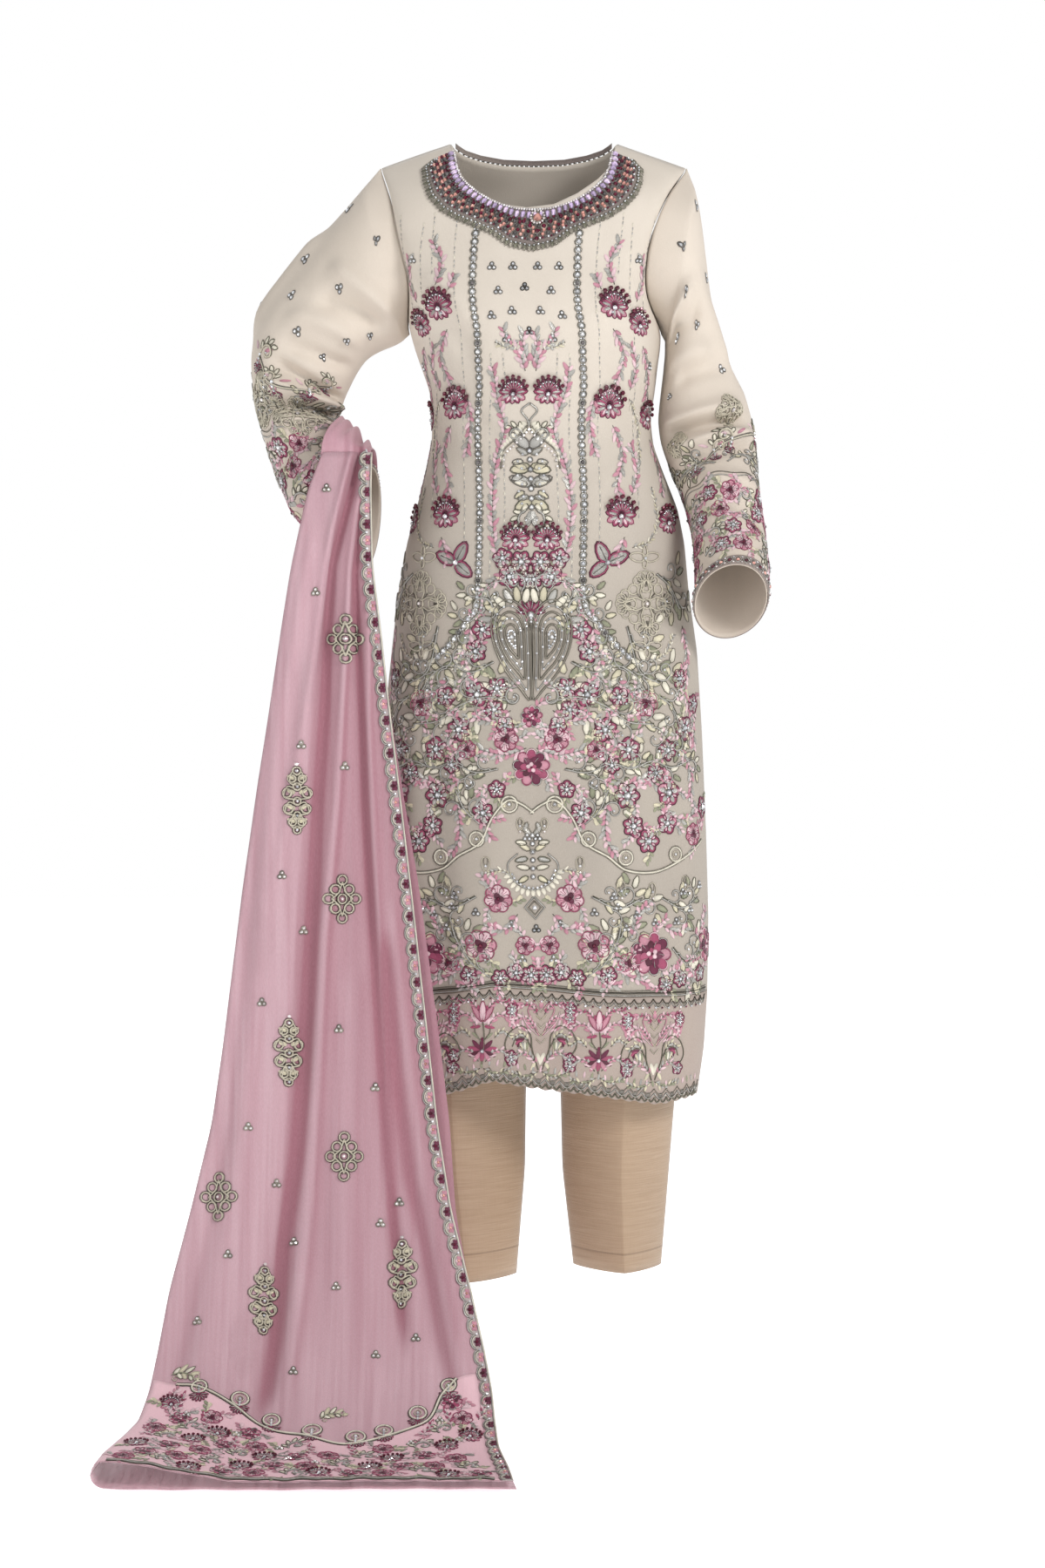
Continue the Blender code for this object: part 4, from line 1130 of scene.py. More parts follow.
def paleBlossom(n, r):
    for k in range(7):
        a = 360 / 7 * k
        n.petal(*toward(a, r * 0.22), a, r * 0.82, r * 0.82, ("palePink", "pink")[k % 2])
        n.thread([toward(a, r * 0.4), toward(a, r * 0.86)], "pink", 0.8, 0.8)
        n.thread([toward(a + 14, r * 0.45), toward(a + 14, r * 0.78)], "rose", 0.7, 0.7)
        n.thread([toward(a - 14, r * 0.45), toward(a - 14, r * 0.78)], "pewter", 0.7, 0.7)
        cx, cy = toward(a, r * 0.62)
        n.thread(arc(cx, cy, r * 0.46, a - 95, a + 95, 8), "rose", 1.3, 0.4)
    n.petal(0, 0, 20, r * 0.5, r * 0.5, "deepMaroon", 0.8)
    n.petal(0, 0, 150, r * 0.46, r * 0.46, "maroon", 0.9)
    n.petal(0, 0, 265, r * 0.46, r * 0.5, "deepMaroon", 1.0)
    n.gem(0, 0, r * 0.3, "maroonBead", 1.6)


def gardenRose(n, r):
    for k in range(9):
        a = 40 * k
        n.petal(*toward(a, r * 0.34), a, r * 0.72, r * 0.7, ("rose", "maroon", "pink")[k % 3])
        n.thread(arc(*toward(a, r * 0.74), r * 0.26, a - 90, a + 90, 7),
            ("palePink", "silver", "rose")[k % 3], 1.6, 0.5)
    for k in range(7):
        a = 51 * k + 20
        n.petal(*toward(a, r * 0.12), a, r * 0.5, r * 0.42, ("maroon", "deepMaroon", "rose")[k % 3], 0.9)
    for k in range(5):
        a = 72 * k
        n.petal(0, 0, a, r * 0.3, r * 0.26, ("palePink", "rose")[k % 2], 1.6)
        n.thread([toward(a + 30, r * 0.34), toward(a + 36, r * 0.66)], "silver", 0.8, 1.3)
    n.gem(0, 0, r * 0.16, "maroonBead", 2.2)


def sprig(n, length, pairs, tones, sway, leaf=7.5, wide=3.0, spread=36):
    line = [(sway * math.sin(math.pi * t) * t, length * t) for t in np.linspace(0, 1, 8)]
    n.thread(line, "pewter", 1.0)
    for k in range(pairs):
        t = (k + 0.7) / pairs
        x, y = sway * math.sin(math.pi * t) * t, length * t
        for side in (-1, 1):
            n.petal(x, y - 1.5, side * (spread + 10 * math.sin(k * 2.3)), leaf * (1.12 - 0.35 * t), wide,
                tones[(k + (side > 0)) % len(tones)], 0.3)
        n.petal(x, y + 1, 8 * math.sin(k * 3.1), leaf * 0.62, wide * 0.6, "silver" if k % 2 else tones[-1],
            0.5)
    n.petal(line[-1][0], line[-1][1], 0, leaf, wide, tones[0], 0.3)


def curl(n, size, colour="gold"):  # an acanthus scroll that ends in a coil
    body = [(0, 0)] + spiral(size * 0.42, size * 0.36, size * 0.52, size * 0.10, -128, 250, 20)
    n.thread(body, colour, size * 0.10 + 1.0, 0.2)
    n.thread([(x * 1.10 - size * 0.03, y * 1.10) for x, y in body[:15]], "olive", 1.4, 0.1)
    for k in range(4):
        a = -110 + 36 * k
        x, y = size * 0.42 + toward(a, size * 0.5)[0], size * 0.36 + toward(a, size * 0.5)[1]
        n.petal(x, y, a + 50, size * 0.48, size * 0.24, "ivory")
        n.thread(leafLoop(x, y, a + 50, size * 0.50, size * 0.26, 9), "olive", 1.2, 0.2)
    n.bead(size * 0.42, size * 0.36, size * 0.12, "crystal", 0.5)


def acanthus(n, size):  # a spread leaf with a scroll on each side of its rib
    rib = curve([(0, 0), (size * 0.3, size * 0.2), (size * 0.68, size * 0.16), (size, size * 0.02)])
    n.thread(rib, "oliveLeaf", 1.6, 0.3)
    for k, (t, a, long_) in enumerate(((0.12, 20, 0.36), (0.3, 30, 0.42), (0.5, 46, 0.42), (0.7, 62, 0.36),
            (0.24, 122, 0.30), (0.46, 134, 0.32), (0.7, 140, 0.26), (0.95, 96, 0.24))):
        x, y = rib[int(t * (len(rib) - 1))]
        n.petal(x, y, a, size * long_, size * 0.15, ("ivory", "cream")[k % 2])
        n.thread(leafLoop(x, y, a, size * long_ * 1.05, size * 0.17, 9), ("olive", "gold")[k % 2], 1.0, 0.2)
    n.thread(spiral(size * 0.98, size * 0.16, size * 0.15, size * 0.04, 180, 500, 12), "gold", 1.5, 0.3)
    n.thread(spiral(size * 0.2, -size * 0.12, size * 0.14, size * 0.03, 20, -300, 12), "gold", 1.4, 0.3)


def palmette(n, r):
    for k, a in enumerate(range(-84, 85, 24)):
        n.petal(0, 0, a, r * (1.0 - 0.1 * abs(a) / 84), r * 0.36, ("maroon", "rose")[k % 2])
        n.thread([toward(a, r * 0.3), toward(a, r * 0.86)], "silver", 1.1, 0.7)
        n.thread(leafLoop(0, 0, a, r * 1.02, r * 0.34, 8), ("rose", "maroon")[k % 2], 1.0, 0.3)
    for k in range(3):
        n.gem(*toward(180, 2 + 4 * k), 3.4, "crystal", 0.8)
    n.petal(-2, -2, 205, r * 0.5, r * 0.18, "pink", 0.4)
    n.petal(2, -2, 155, r * 0.5, r * 0.18, "pink", 0.4)


def loops(n, x, y, angle, count, reach, radius):  # a cluster of small cord loops
    for k in range(count):
        a = angle + (k - (count - 1) / 2) * 150 / max(count, 1)
        dx, dy = toward(a, reach)
        n.thread(arc(x + dx, y + dy, radius, a + 180, a + 540, 11), "gold", 2.0, 0.25)
        n.thread([(x, y), (x + dx, y + dy)], "antique", 1.5, 0.1)


def knotRosette(n, r):  # petals of looped cord on the four sides of a knot
    for a in (0, 90, 180, 270):
        cx, cy = toward(a, r * 0.50)
        loops(n, cx, cy, a, 5, r * 0.32, r * 0.13)
        for side in (-1, 1):
            n.thread(curve([toward(a + side * 45, r * 0.12), toward(a + side * 26, r * 0.42),
                toward(a, r * 0.68), toward(a - side * 22, r * 0.36)], 4), "gold", 2.2, 0.4)
        n.thread(arc(cx, cy, r * 0.17, 0, 360, 11), "gold", 2.2, 0.3)
    for a in (45, 135, 225, 315):
        n.thread(arc(*toward(a, r * 0.58), r * 0.15, a - 180, a + 180, 11), "gold", 2.2, 0.3)
        n.thread([toward(a, r * 0.08), toward(a, r * 0.45)], "antique", 1.8, 0.3)
    n.thread(arc(0, 0, r * 0.14, 0, 360, 11), "gold", 2.2, 0.5)
    n.bead(0, 0, 4.0, "pearl", 0.6)


def bow(n, wide):
    for side in (-1, 1):
        n.thread(leafLoop(0, 0, side * 82, wide * 0.5, wide * 0.26, 13), "gold", 2.2, 0.2)
    for a, long_ in ((0, 0.36), (180, 0.28)):
        n.thread(leafLoop(0, 0, a, wide * long_, wide * 0.15, 11), "gold", 2.1, 0.3)
    n.bead(0, 0, 4.0, "crystal", 0.5)


def cord(n, line, wide=2.4):  # a cream cord with a dark edge
    n.thread(line, "antique", wide * 1.6, 0.0, wide * 0.35)
    n.thread(line, "gold", wide, 0.6)


def tallKnot(n, wide, high):  # a cord knot of loops round an upright spine
    for y, reach, size in ((0.34, 0.17, 0.11), (0.12, 0.34, 0.13), (-0.12, 0.30, 0.13),
            (-0.32, 0.16, 0.11)):
        for side in (-1, 1):
            cord(n, arc(side * wide * reach, high * y, wide * size * 1.2, 0, 360, 11))
            cord(n, curve([(0, high * (y - 0.1)), (side * wide * reach * 1.3, high * (y - 0.06)),
                (side * wide * reach * 0.9, high * (y + 0.1)), (0, high * (y + 0.05))], 4), 2.0)
            n.petal(side * wide * 0.06, high * y, side * 70, wide * 0.3, wide * 0.16, "cream", 0.3)
    for y in (0.46, 0.22, 0.0, -0.22, -0.44):
        cord(n, arc(0, high * y, wide * 0.13, 0, 360, 11), 2.2)
        n.bead(0, high * y, 3.2, "crystal", 0.8)
    n.bead(0, high * 0.56, 4.0, "pearl", 0.4)


def diamondKnot(n, wide, high):
    rows = ((0.40, (0,)), (0.20, (-0.22, 0.22)), (0.0, (-0.42, 0, 0.42)), (-0.20, (-0.22, 0.22)),
        (-0.40, (0,)))
    for y, xs in rows:
        for x in xs:
            cord(n, arc(wide * x, high * y, wide * 0.15, 0, 360, 11), 2.2)
    for sx, sy in ((1, 1), (1, -1), (-1, 1), (-1, -1)):
        cord(n, curve([(0, sy * high * 0.36), (sx * wide * 0.12, sy * high * 0.14), (sx * wide * 0.34, 0)],
            4), 2.0)
    n.bead(0, 0, 3.6, "pearl", 0.8)


def discChain(n, points, pitch=9.6):
    path = Path(curve(points, 12))
    for k, d in enumerate(np.arange(0, path.length, pitch)):
        x, y = path.at(d)
        n.disc(x, y, 8.4, "silver")
        n.thread(arc(x, y, 4.2, 0, 360, 10), "antique", 1.2, 0.7)
        n.gem(x, y, 5.4, "crystal" if k % 7 else "smoke", 0.7)
        x, y = path.at(d + pitch / 2)
        n.bead(x - 1.6, y, 2.2, "crystal")
        n.bead(x + 1.6, y, 2.2, "crystal")


def dashLine(n, points, pitch=5.2):
    path = Path(curve(points, 12))
    for k, d in enumerate(np.arange(0, path.length - 4, pitch)):
        (x, y), (nextX, nextY) = path.at(d), path.at(d + 2)
        heading = math.degrees(math.atan2(nextX - x, nextY - y))
        n.petal(x, y, heading, 4.2, 1.5, "silver" if k % 3 else "ivory", 0, 0.6)


def butterfly(n, r):
    for a, long_ in ((-20, 1.0), (75, 1.05), (-120, 0.95)):
        n.petal(*toward(a, 2), a, r * long_, r * 0.52, "silver")
        n.thread(leafLoop(*toward(a, 1), a, r * long_ * 1.05, r * 0.56), "rose", 1.9, 0.3)
        n.thread(leafLoop(*toward(a, 0.5), a, r * long_ * 1.16, r * 0.68), "maroon", 1.6, 0.1)
        n.thread([toward(a, 4), toward(a, r * 0.9)], "pewter", 1.0, 0.9)
    n.gem(0, 0, 6.5, "crystal", 1.0)


def ogee(n):  # a pearled arch over a pendant medallion
    for side in (-1, 1):
        arch = curve([(0, 66), (side * 8, 56), (side * 20, 44), (side * 30, 34), (side * 34, 14)], 6)
        n.thread(arch, "antique", 2.2, 0.2)
        for k in range(2, len(arch) - 1, 2):
            n.petal(arch[k][0], arch[k][1], side * (60 - 3 * k), 7.5, 5.0, "ivory", 0.3)
            n.bead(arch[k][0] - side * 2, arch[k][1] - 4.5, 3.2, "pearl", 0.3)
        n.thread(curve([(0, 88), (side * 9, 80), (side * 2, 70), (0, 62)], 5), "silver", 2.4, 0.2)
        for k, (x, y, turn, long_) in enumerate(((2, 30, 60, 14), (8, 22, 96, 12), (4, 14, 70, 16),
                (9, 6, 110, 13), (4, -4, 80, 15), (8, -12, 125, 13), (3, -18, 100, 13), (5, -26, 150, 12))):
            n.petal(side * x, y, side * turn, long_, 6.0, ("silver", "ivory", "cream")[k % 3], 0.1)
            n.thread(leafLoop(side * x, y, side * turn, long_ * 1.06, 6.6, 9), ("antique", "pewter")[k % 2],
                1.5, 0.3)
            n.gem(side * (x + 6), y, 3.6, "crystal", 0.9)
        for k, (y, turn, long_) in enumerate(((38, 52, 24), (16, 100, 22), (-4, 72, 24), (-22, 118, 20))):
            n.petal(0, y, side * turn, long_, 11.0, ("silver", "cream")[k % 2], 0.0)
            n.thread(leafLoop(0, y, side * turn, long_ * 1.08, 12.0, 11), ("pewter", "olive")[k % 2], 1.6,
                0.1)
        for x, y, turn, size in ((8, -34, 140, 20), (6, 50, 30, 18)):
            curl(n.on(side * x, y, side * turn, 1, side), size, "silver")
        n.petal(0, -34, side * 164, 18, 8, "silver", 0.2)
    for y in (34, 24, 13, 2, -9, -20, -30):
        n.disc(0, y, 6.4, "pewter", 0.5)
        n.gem(0, y, 5.0, "crystal", 1.0)


def heartMotif(n, wide, high):  # two lobes filled with nested rows of silver cord and sequins
    outline = [(0.02, 0.26), (0.10, 0.44), (0.26, 0.53), (0.42, 0.46), (0.50, 0.26), (0.46, 0.0),
        (0.32, -0.26), (0.14, -0.45), (0.015, -0.56), (0.015, -0.2), (0.02, 0.26)]
    for side in (-1, 1):
        for k in range(6):
            size = 1.0 - 0.165 * k
            ring = [(0.25 + (x - 0.25) * size, 0.12 + (y - 0.12) * size) for x, y in outline]
            line = curve([(side * wide * x, high * y) for x, y in ring], 4)
            n.thread(line, ("antique", "silver")[k % 2], 2.0 if k % 2 else 2.8, 0.2)
            if k % 2:
                for x, y in line[1::3]:
                    n.bead(x, y, 2.6, "crystal", 0.7)
        n.gem(side * wide * 0.25, high * 0.12, 5, "crystal", 0.9)
        for k in range(6):
            spot = (side * wide * (0.07 + 0.08 * k), high * (0.50 - 0.012 * (k - 1) ** 2),
                side * (-12 + 20 * k))
            n.petal(*spot, high * 0.17, wide * 0.09, ("ivory", "cream", "silver")[k % 3], 0.5)
            n.thread(leafLoop(*spot, high * 0.18, wide * 0.095, 8), "olive", 1.2, 0.6)
        for x, y, turn, size in ((0.10, 0.62, -12, 24), (0.46, 0.44, 40, 26), (0.20, -0.42, 120, 22)):
            curl(n.on(side * wide * x, high * y, side * turn, 1, side), size, "silver")
    n.disc(0, high * 0.36, 8, "pewter", 0.8)
    n.gem(0, high * 0.36, 6, "crystal", 1.4)


def garlandLoop(n, x, y, r, cord="ivory", edge="antique"):
    n.thread(arc(x, y, r, 0, 360, 16), cord, 2.6, 0.3)
    n.thread(arc(x, y, r + 1.6, 0, 360, 16), edge, 1.0, 0.2)
    n.thread(arc(x, y, r * 0.45, 0, 360, 10), "gold", 1.4, 0.3)
    n.gem(x, y, r * 0.42, "crystal", 0.6)


def garlandLine(n, points, cord="ivory", edge="antique", wide=2.8):
    line = curve(points, 8)
    n.thread(line, cord, wide, 0.3)
    shifted = np.array(line)
    step = np.gradient(shifted, axis=0)
    side = np.stack([step[:, 1], -step[:, 0]], axis=1) / np.linalg.norm(step, axis=1, keepdims=True)
    n.thread(list(map(tuple, shifted + side * wide * 0.62)), edge, 1.0, 0.2)
    n.thread(list(map(tuple, shifted - side * wide * 0.62)), edge, 1.0, 0.2)


def dropLoop(n, x, y, long_):
    n.thread(leafLoop(x, y, 180, long_, long_ * 0.55), "gold", 1.4, 0.2)
    n.thread(leafLoop(x, y, 180, long_ * 0.6, long_ * 0.28), "antique", 1.0, 0.3)
    n.gem(x, y - long_ * 0.62, long_ * 0.2, "crystal", 0.5)
    n.bead(x, y - long_ - 1, 2.6, "pearl", 0.2)


def medallion(n):  # the oval pendant with its beaded rim and hanging square
    for side in (-1, 1):
        for k, (x, y, turn, long_) in enumerate(((2, 30, 40, 14), (7, 20, 80, 13), (3, 12, 60, 15),
                (6, 2, 100, 15), (4, -10, 80, 15), (6, -20, 120, 13), (10, 34, -20, 12))):
            n.petal(side * x, y, side * turn, long_, 6.0, ("silver", "ivory", "cream")[k % 3], 0.1)
            n.thread(leafLoop(side * x, y, side * turn, long_ * 1.05, 6.4, 9), ("antique", "olive")[k % 2],
                1.5, 0.3)
        n.thread(curve([(side * 18, 8), (side * 30, -4), (side * 27, -20), (side * 13, -32), (0, -36)], 6),
            "silver", 2.2, 0.2)
    for a in range(104, 258, 11):
        x, y = 30 * math.sin(math.radians(a)), -6 + 30 * math.cos(math.radians(a))
        n.petal(x, y, a, 8.5, 5.4, "ivory", 0.3)
        n.bead(x * 0.92, -6 + (y + 6) * 0.92, 3.2, "crystal", 0.4)
    for y in (30, 20, 10, 0, -10, -20):
        n.disc(0, y, 6.0, "pewter", 0.5)
        n.gem(0, y, 4.6, "crystal", 1.0)
    diamond = [(0, -44), (12, -57), (0, -71), (-12, -57), (0, -44)]
    n.thread(diamond, "silver", 2.6, 0.2)
    n.thread([(x * 0.62, -57.5 + (y + 57.5) * 0.62) for x, y in diamond], "antique", 2.0, 0.2)
    n.gem(0, -57.5, 6, "crystal", 0.6)


def evenly(points, gap):  # places a gap apart along a smooth line, with the heading of each
    path = Path(curve(points, 10))
    for k, d in enumerate(np.arange(gap * 0.5, path.length, gap)):
        (x0, y0), (x1, y1) = path.at(d - 1), path.at(d + 1)
        yield k, *path.at(d), math.degrees(math.atan2(x1 - x0, y1 - y0))


def vine(n, points, leaf=11.5, wide=5.0, gap=6.0, tones=("pink", "palePink", "silver"), stem="pewter"):
    n.thread(curve(points, 6), stem, 1.1)
    for k, x, y, heading in evenly(points, gap):
        side = 1 if k % 2 else -1
        long_ = leaf * (0.85 + 0.22 * math.sin(1.7 * k))
        n.petal(x, y, heading + side * 40, long_, wide, tones[k % len(tones)], 0.2)
        n.petal(x, y, heading - side * 32, long_ * 0.7, wide * 0.8, tones[(k + 1) % len(tones)], 0.1)


def scrollwork(n, points, size, gap=15.0):  # a cord that throws off coils and acanthus leaves to each side
    n.thread(curve(points, 6), "silver", 2.4, 0.2)
    n.thread([(x + 1.7, y + 1.0) for x, y in curve(points, 6)], "olive", 1.4, 0.1)
    for k, x, y, heading in evenly(points, gap):
        side = 1 if k % 2 else -1
        at = n.on(x, y, heading + side * 18, 1, side)
        at.thread([(0, 0)] + spiral(size * 0.44, size * 0.40, size * 0.46, size * 0.10, -130, 220, 16),
            "silver", 2.2, 0.3)
        for j in range(4):
            a = -96 + 44 * j
            px, py = size * 0.44 + toward(a, size * 0.44)[0], size * 0.40 + toward(a, size * 0.44)[1]
            at.petal(px, py, a + 42, size * 0.58, size * 0.27, ("cream", "ivory", "oliveLeaf")[(j + k) % 3])
            at.thread(leafLoop(px, py, a + 42, size * 0.60, size * 0.29, 8), ("olive", "antique")[j % 2],
                1.2, 0.2)
        at.bead(size * 0.44, size * 0.40, 2.8, "crystal", 0.4)


def tuft(n, x, y, r, turn, reach=15.0):  # leaf sprays that fill the ground round a flower
    for k in range(3):
        a = turn + 120 * k + 18 * math.sin(turn + k)
        bx, by = toward(a, r * 0.9)
        tones = (("pink", "palePink"), ("palePink", "silver"), ("oliveLeaf", "cream"))[(k + int(turn)) % 3]
        vine(n, [(x + bx, y + by), (x + bx + toward(a + 10, reach * 0.5)[0],
            y + by + toward(a + 10, reach * 0.5)[1]), (x + bx + toward(a + 26, reach)[0],
            y + by + toward(a + 26, reach)[1])], 9.0, 4.2, 5.2, tones)


def irisTree(n, high):  # mirrored branches that arch out from a laced heart
    for side in (-1, 1):
        m = n.on(0, 0, 0, 1, side)
        m.thread(curve([(2, -high * 0.42), (9, -high * 0.16), (11, high * 0.02), (20, high * 0.14),
            (33, high * 0.06), (38, -high * 0.12), (30, -high * 0.28)], 5), "olive", 1.5, 0.2)
        m.thread(curve([(9, -high * 0.16), (16, -high * 0.02), (26, -high * 0.02), (30, -high * 0.12)], 5),
            "olive", 1.2, 0.2)
        m.thread(curve([(2, high * 0.02), (9, high * 0.2), (14, high * 0.34), (8, high * 0.42),
            (2, high * 0.34)], 5), "pink", 1.6, 0.3)
        m.thread(curve([(3, high * 0.02), (16, high * 0.18), (20, high * 0.32)], 4), "palePink", 1.3, 0.2)
        for k in range(5):
            m.petal(10 + 5.5 * k, high * (0.06 + 0.02 * k), 62 - 12 * k, 9, 3.4,
                ("palePink", "pink", "blush")[k % 3])
            m.petal(13 + 5.5 * k, high * (0.10 + 0.03 * k), 20 - 6 * k, 8, 3.0, ("pink", "palePink")[k % 2])
        for k, a in enumerate((130, 160, 190, 215)):
            m.petal(17 + 2 * k, high * -0.02, a - 30, 10, 5.0, ("maroon", "rose", "deepMaroon",
                "maroon")[k])
        for k in range(4):
            m.petal(14 + 3 * k, -high * 0.06, 170 + 14 * k, 9, 2.8,
                ("oliveLeaf", "ivory", "silver", "cream")[k], 0.4)
            m.thread([(13 + 3 * k, -high * 0.1), (14 + 4 * k, -high * 0.24)], ("cream", "silver")[k % 2],
                1.0, 0.3)
        m.petal(4, -high * 0.2, 200, 14, 4.6, "ivory")
        m.petal(4, -high * 0.3, 150, 12, 4.0, "cream")
        blossom(m.on(31, high * 0.36), 6.0, "rose", "silver", "maroon", 5)
        m.petal(20, high * 0.36, 40, 9, 3.6, "pink")
        m.petal(24, high * 0.24, 70, 10, 3.4, "palePink")
    for k in range(6):
        y = high * (0.44 - 0.1 * k)
        n.thread([(-5, y + 3), (0, y - 2), (5, y + 3)], ("cream", "gold")[k % 2], 1.4, 0.4)
    n.petal(0, high * 0.36, 0, 9, 5, "pink", 0.4)


def lily(n, high):
    n.thread(curve([(0, -high * 0.44), (2, -high * 0.1), (0, high * 0.14)], 5), "olive", 1.4, 0.2)
    for side in (-1, 1):
        n.thread(curve([(0, -high * 0.16), (side * 8, -high * 0.02), (side * 7, high * 0.1)], 5), "olive",
            1.2, 0.2)
        n.petal(0, high * 0.12, side * 34, 20, 6.0, "pink")
        n.petal(0, high * 0.1, side * 66, 17, 5.0, "palePink")
        n.petal(side * 2, high * 0.06, side * 100, 12, 4.2, "rose")
        n.thread(leafLoop(0, high * 0.12, side * 34, 21, 6.4), "rose", 1.0, 0.3)
        for k, (a, c) in enumerate(((40, "maroon"), (78, "rose"), (118, "deepMaroon"), (150, "pink"))):
            n.petal(side * 1.5, -high * 0.26, side * a, 15, 5.6, c, 0.2)
        n.petal(side * 4, -high * 0.1, side * 50, 10, 3.4, "oliveLeaf")
    n.petal(0, high * 0.12, 0, 22, 7.0, "palePink", 0.3)
    n.thread(leafLoop(0, high * 0.12, 0, 23, 7.4), "rose", 1.1, 0.4)
    n.petal(0, -high * 0.26, 0, 15, 6, "maroon", 0.3)
    n.petal(0, -high * 0.26, 180, 13, 6, "rose", 0.3)
    n.gem(0, -high * 0.27, 4.5, "crystal", 1.0)


def scallops(n, points, pitch, depth, colour, wide, petal=None):
    path = Path(points)
    for d in np.arange(0, path.length - pitch * 0.6, pitch):
        (x0, y0), (x1, y1) = path.at(d), path.at(min(d + pitch, path.length))
        n.thread([(x0 + (x1 - x0) * t, y0 + (y1 - y0) * t - depth * math.sin(math.pi * t)) for t in
            np.linspace(0, 1, 7)], colour, wide, 0.2)
        if petal:
            n.petal((x0 + x1) / 2, (y0 + y1) / 2, 180, depth * 0.8, pitch * 0.4, petal)


# Neck trim and piping.

neckTrim = {
    "innerX": (-90, -87, -85, -80, -72, -61, -48, -34, -18, 0, 18, 34, 48, 61, 72, 80, 85, 88, 91),
    "innerZ": (-14, -24, -37, -48, -57, -66, -74, -80, -84, -85, -84, -80, -74, -66, -57, -48, -37, -24,
        -14),
    "outerX": (-112, -126, -124, -117, -104, -88, -68, -47, -28, -2, 24, 44, 66, 87, 104, 117, 124, 125,
        113),
    "outerZ": (-25, -36, -50, -70, -86, -95, -103, -112, -128, -134, -127, -110, -101, -93, -82, -68, -52,
        -38, -25),
    "rise": 1.6, "thick": 0.9, "columns": 121, "across": 13, "scallops": 30, "scallop": 0.035,
    # share of the width from the neck edge, pitch in mm, kind, sizes in mm and the colours in turn
    "rows": ((0.035, 3.0, "bead", 3.0, 3.0, ("pearl",)), (0.16, 7.0, "gem", 5.6, 9.6, ("lilac",)),
        (0.285, 3.3, "bead", 3.2, 3.2, ("maroonBead", "smoke", "maroonBead", "pewterBead")),
        (0.37, 6.0, "gem", 5.0, 5.6, ("maroonBead", "smoke")), (0.47, 6.4, "gem", 4.6, 5.0,
        ("peach", "smoke")), (0.57, 6.0, "gem", 4.8, 4.8, ("maroonBead", "peach")),
        (0.67, 6.4, "gem", 4.6, 4.6, ("peach", "smoke")), (0.76, 3.4, "bead", 2.8, 2.8,
        ("smoke", "crystal", "maroonBead")), (0.86, 5.2, "scallop", 8.5, 4.8, ("olive", "antique"))),
}


def neckSpot(along, share):  # along runs from 0 at the wearer's right end to 1 at the left end
    i = along * (len(neckTrim["innerX"]) - 1)
    at = lambda name: np.interp(i, np.arange(len(neckTrim[name])), neckTrim[name])
    return at("innerX") * (1 - share) + at("outerX") * share, at("innerZ") * (1 -
        share) + at("outerZ") * share


def neckTrimShell():
    along = np.linspace(0, 1, neckTrim["columns"])[None, :]
    share = np.linspace(0, 1, neckTrim["across"])[:, None]
    edge = ease((share - 0.8) / 0.2)
    scallop = neckTrim["scallop"] * np.abs(np.sin(along * math.pi * neckTrim["scallops"])) * edge
    x, z = neckSpot(along, share - neckTrim["scallop"] * edge + scallop)
    left, right = torsoSides(z)
    u = np.clip(2 * (x - left) / (right - left) - 1, -0.999, 0.999)
    points = torsoPoint(u, z, "front")
    normal = np.cross(np.gradient(points, axis=1), np.gradient(points, axis=0))
    normal *= np.sign(-normal[..., 1:2]) / np.linalg.norm(normal, axis=-1, keepdims=True)
    sewCloth("neckTrim", points + normal * neckTrim["rise"], (0.0, -1.0, 0.3),
        ("beaded_trim", braidGround, "neck_trim"), thick=neckTrim["thick"])


def neckStones():
    work = Stitching("neckStones", Facing(frontCloth), lift=neckTrim["rise"])
    n = Needle(work)
    fine = np.linspace(0, 1, 900)
    for share, pitch, kind, wide, long_, colours in neckTrim["rows"]:
        x, z = neckSpot(fine, share)
        s = np.array([frontCloth.sAt(a, b) for a, b in zip(x, z)])
        run = np.concatenate([[0], np.cumsum(np.hypot(np.diff(s), np.diff(z)))])
        for k, d in enumerate(np.arange(pitch / 2, run[-1] - pitch / 3, pitch)):
            t = float(np.interp(d, run, fine))
            px, pz = (float(np.interp(d, run, v)) for v in (s, z))
            ox, oz = neckSpot(t, 1.0)
            ix, iz = neckSpot(t, 0.0)
            facing = math.degrees(math.atan2(ox - ix, oz - iz))
            colour = colours[k % len(colours)]
            if kind == "bead":
                n.bead(px, pz, wide, colour)
            elif kind == "gem":
                n.disc(px, pz, wide * 1.12, "pewter" if colour != "lilac" else "antique")
                n.gem(px, pz, wide, colour, 0.7, long_, facing)
            else:
                n.petal(px, pz, facing, wide, long_, colour, 0.1)
                n.thread(leafLoop(px, pz, facing, wide, long_ * 1.05, 9), "antique", 1.0, 0.2)
                n.bead(px + toward(facing, 2)[0], pz + toward(facing, 2)[1], 2.2, "crystal", 0.8)
    middle = frontCloth.sAt(5, -96)
    n.disc(middle, -96, 15, "antique", 1.2)
    n.gem(middle, -96, 10.5, "peach", 1.9)
    for k in range(14):
        n.bead(middle + toward(360 / 14 * k, 7.6)[0], -96 + toward(360 / 14 * k, 7.6)[1], 2.8, "pearl", 1.6)
    for k, (dx, dz) in enumerate(((0, -112), (-8, -106), (8, -106), (-15, -101), (15, -101), (0, -121))):
        n.disc(middle + dx, dz, 7.5, "antique", 1.0)
        n.gem(middle + dx, dz, 5.6, "maroonBead", 1.7, None, 45)
    work.finish("beaded_trim")


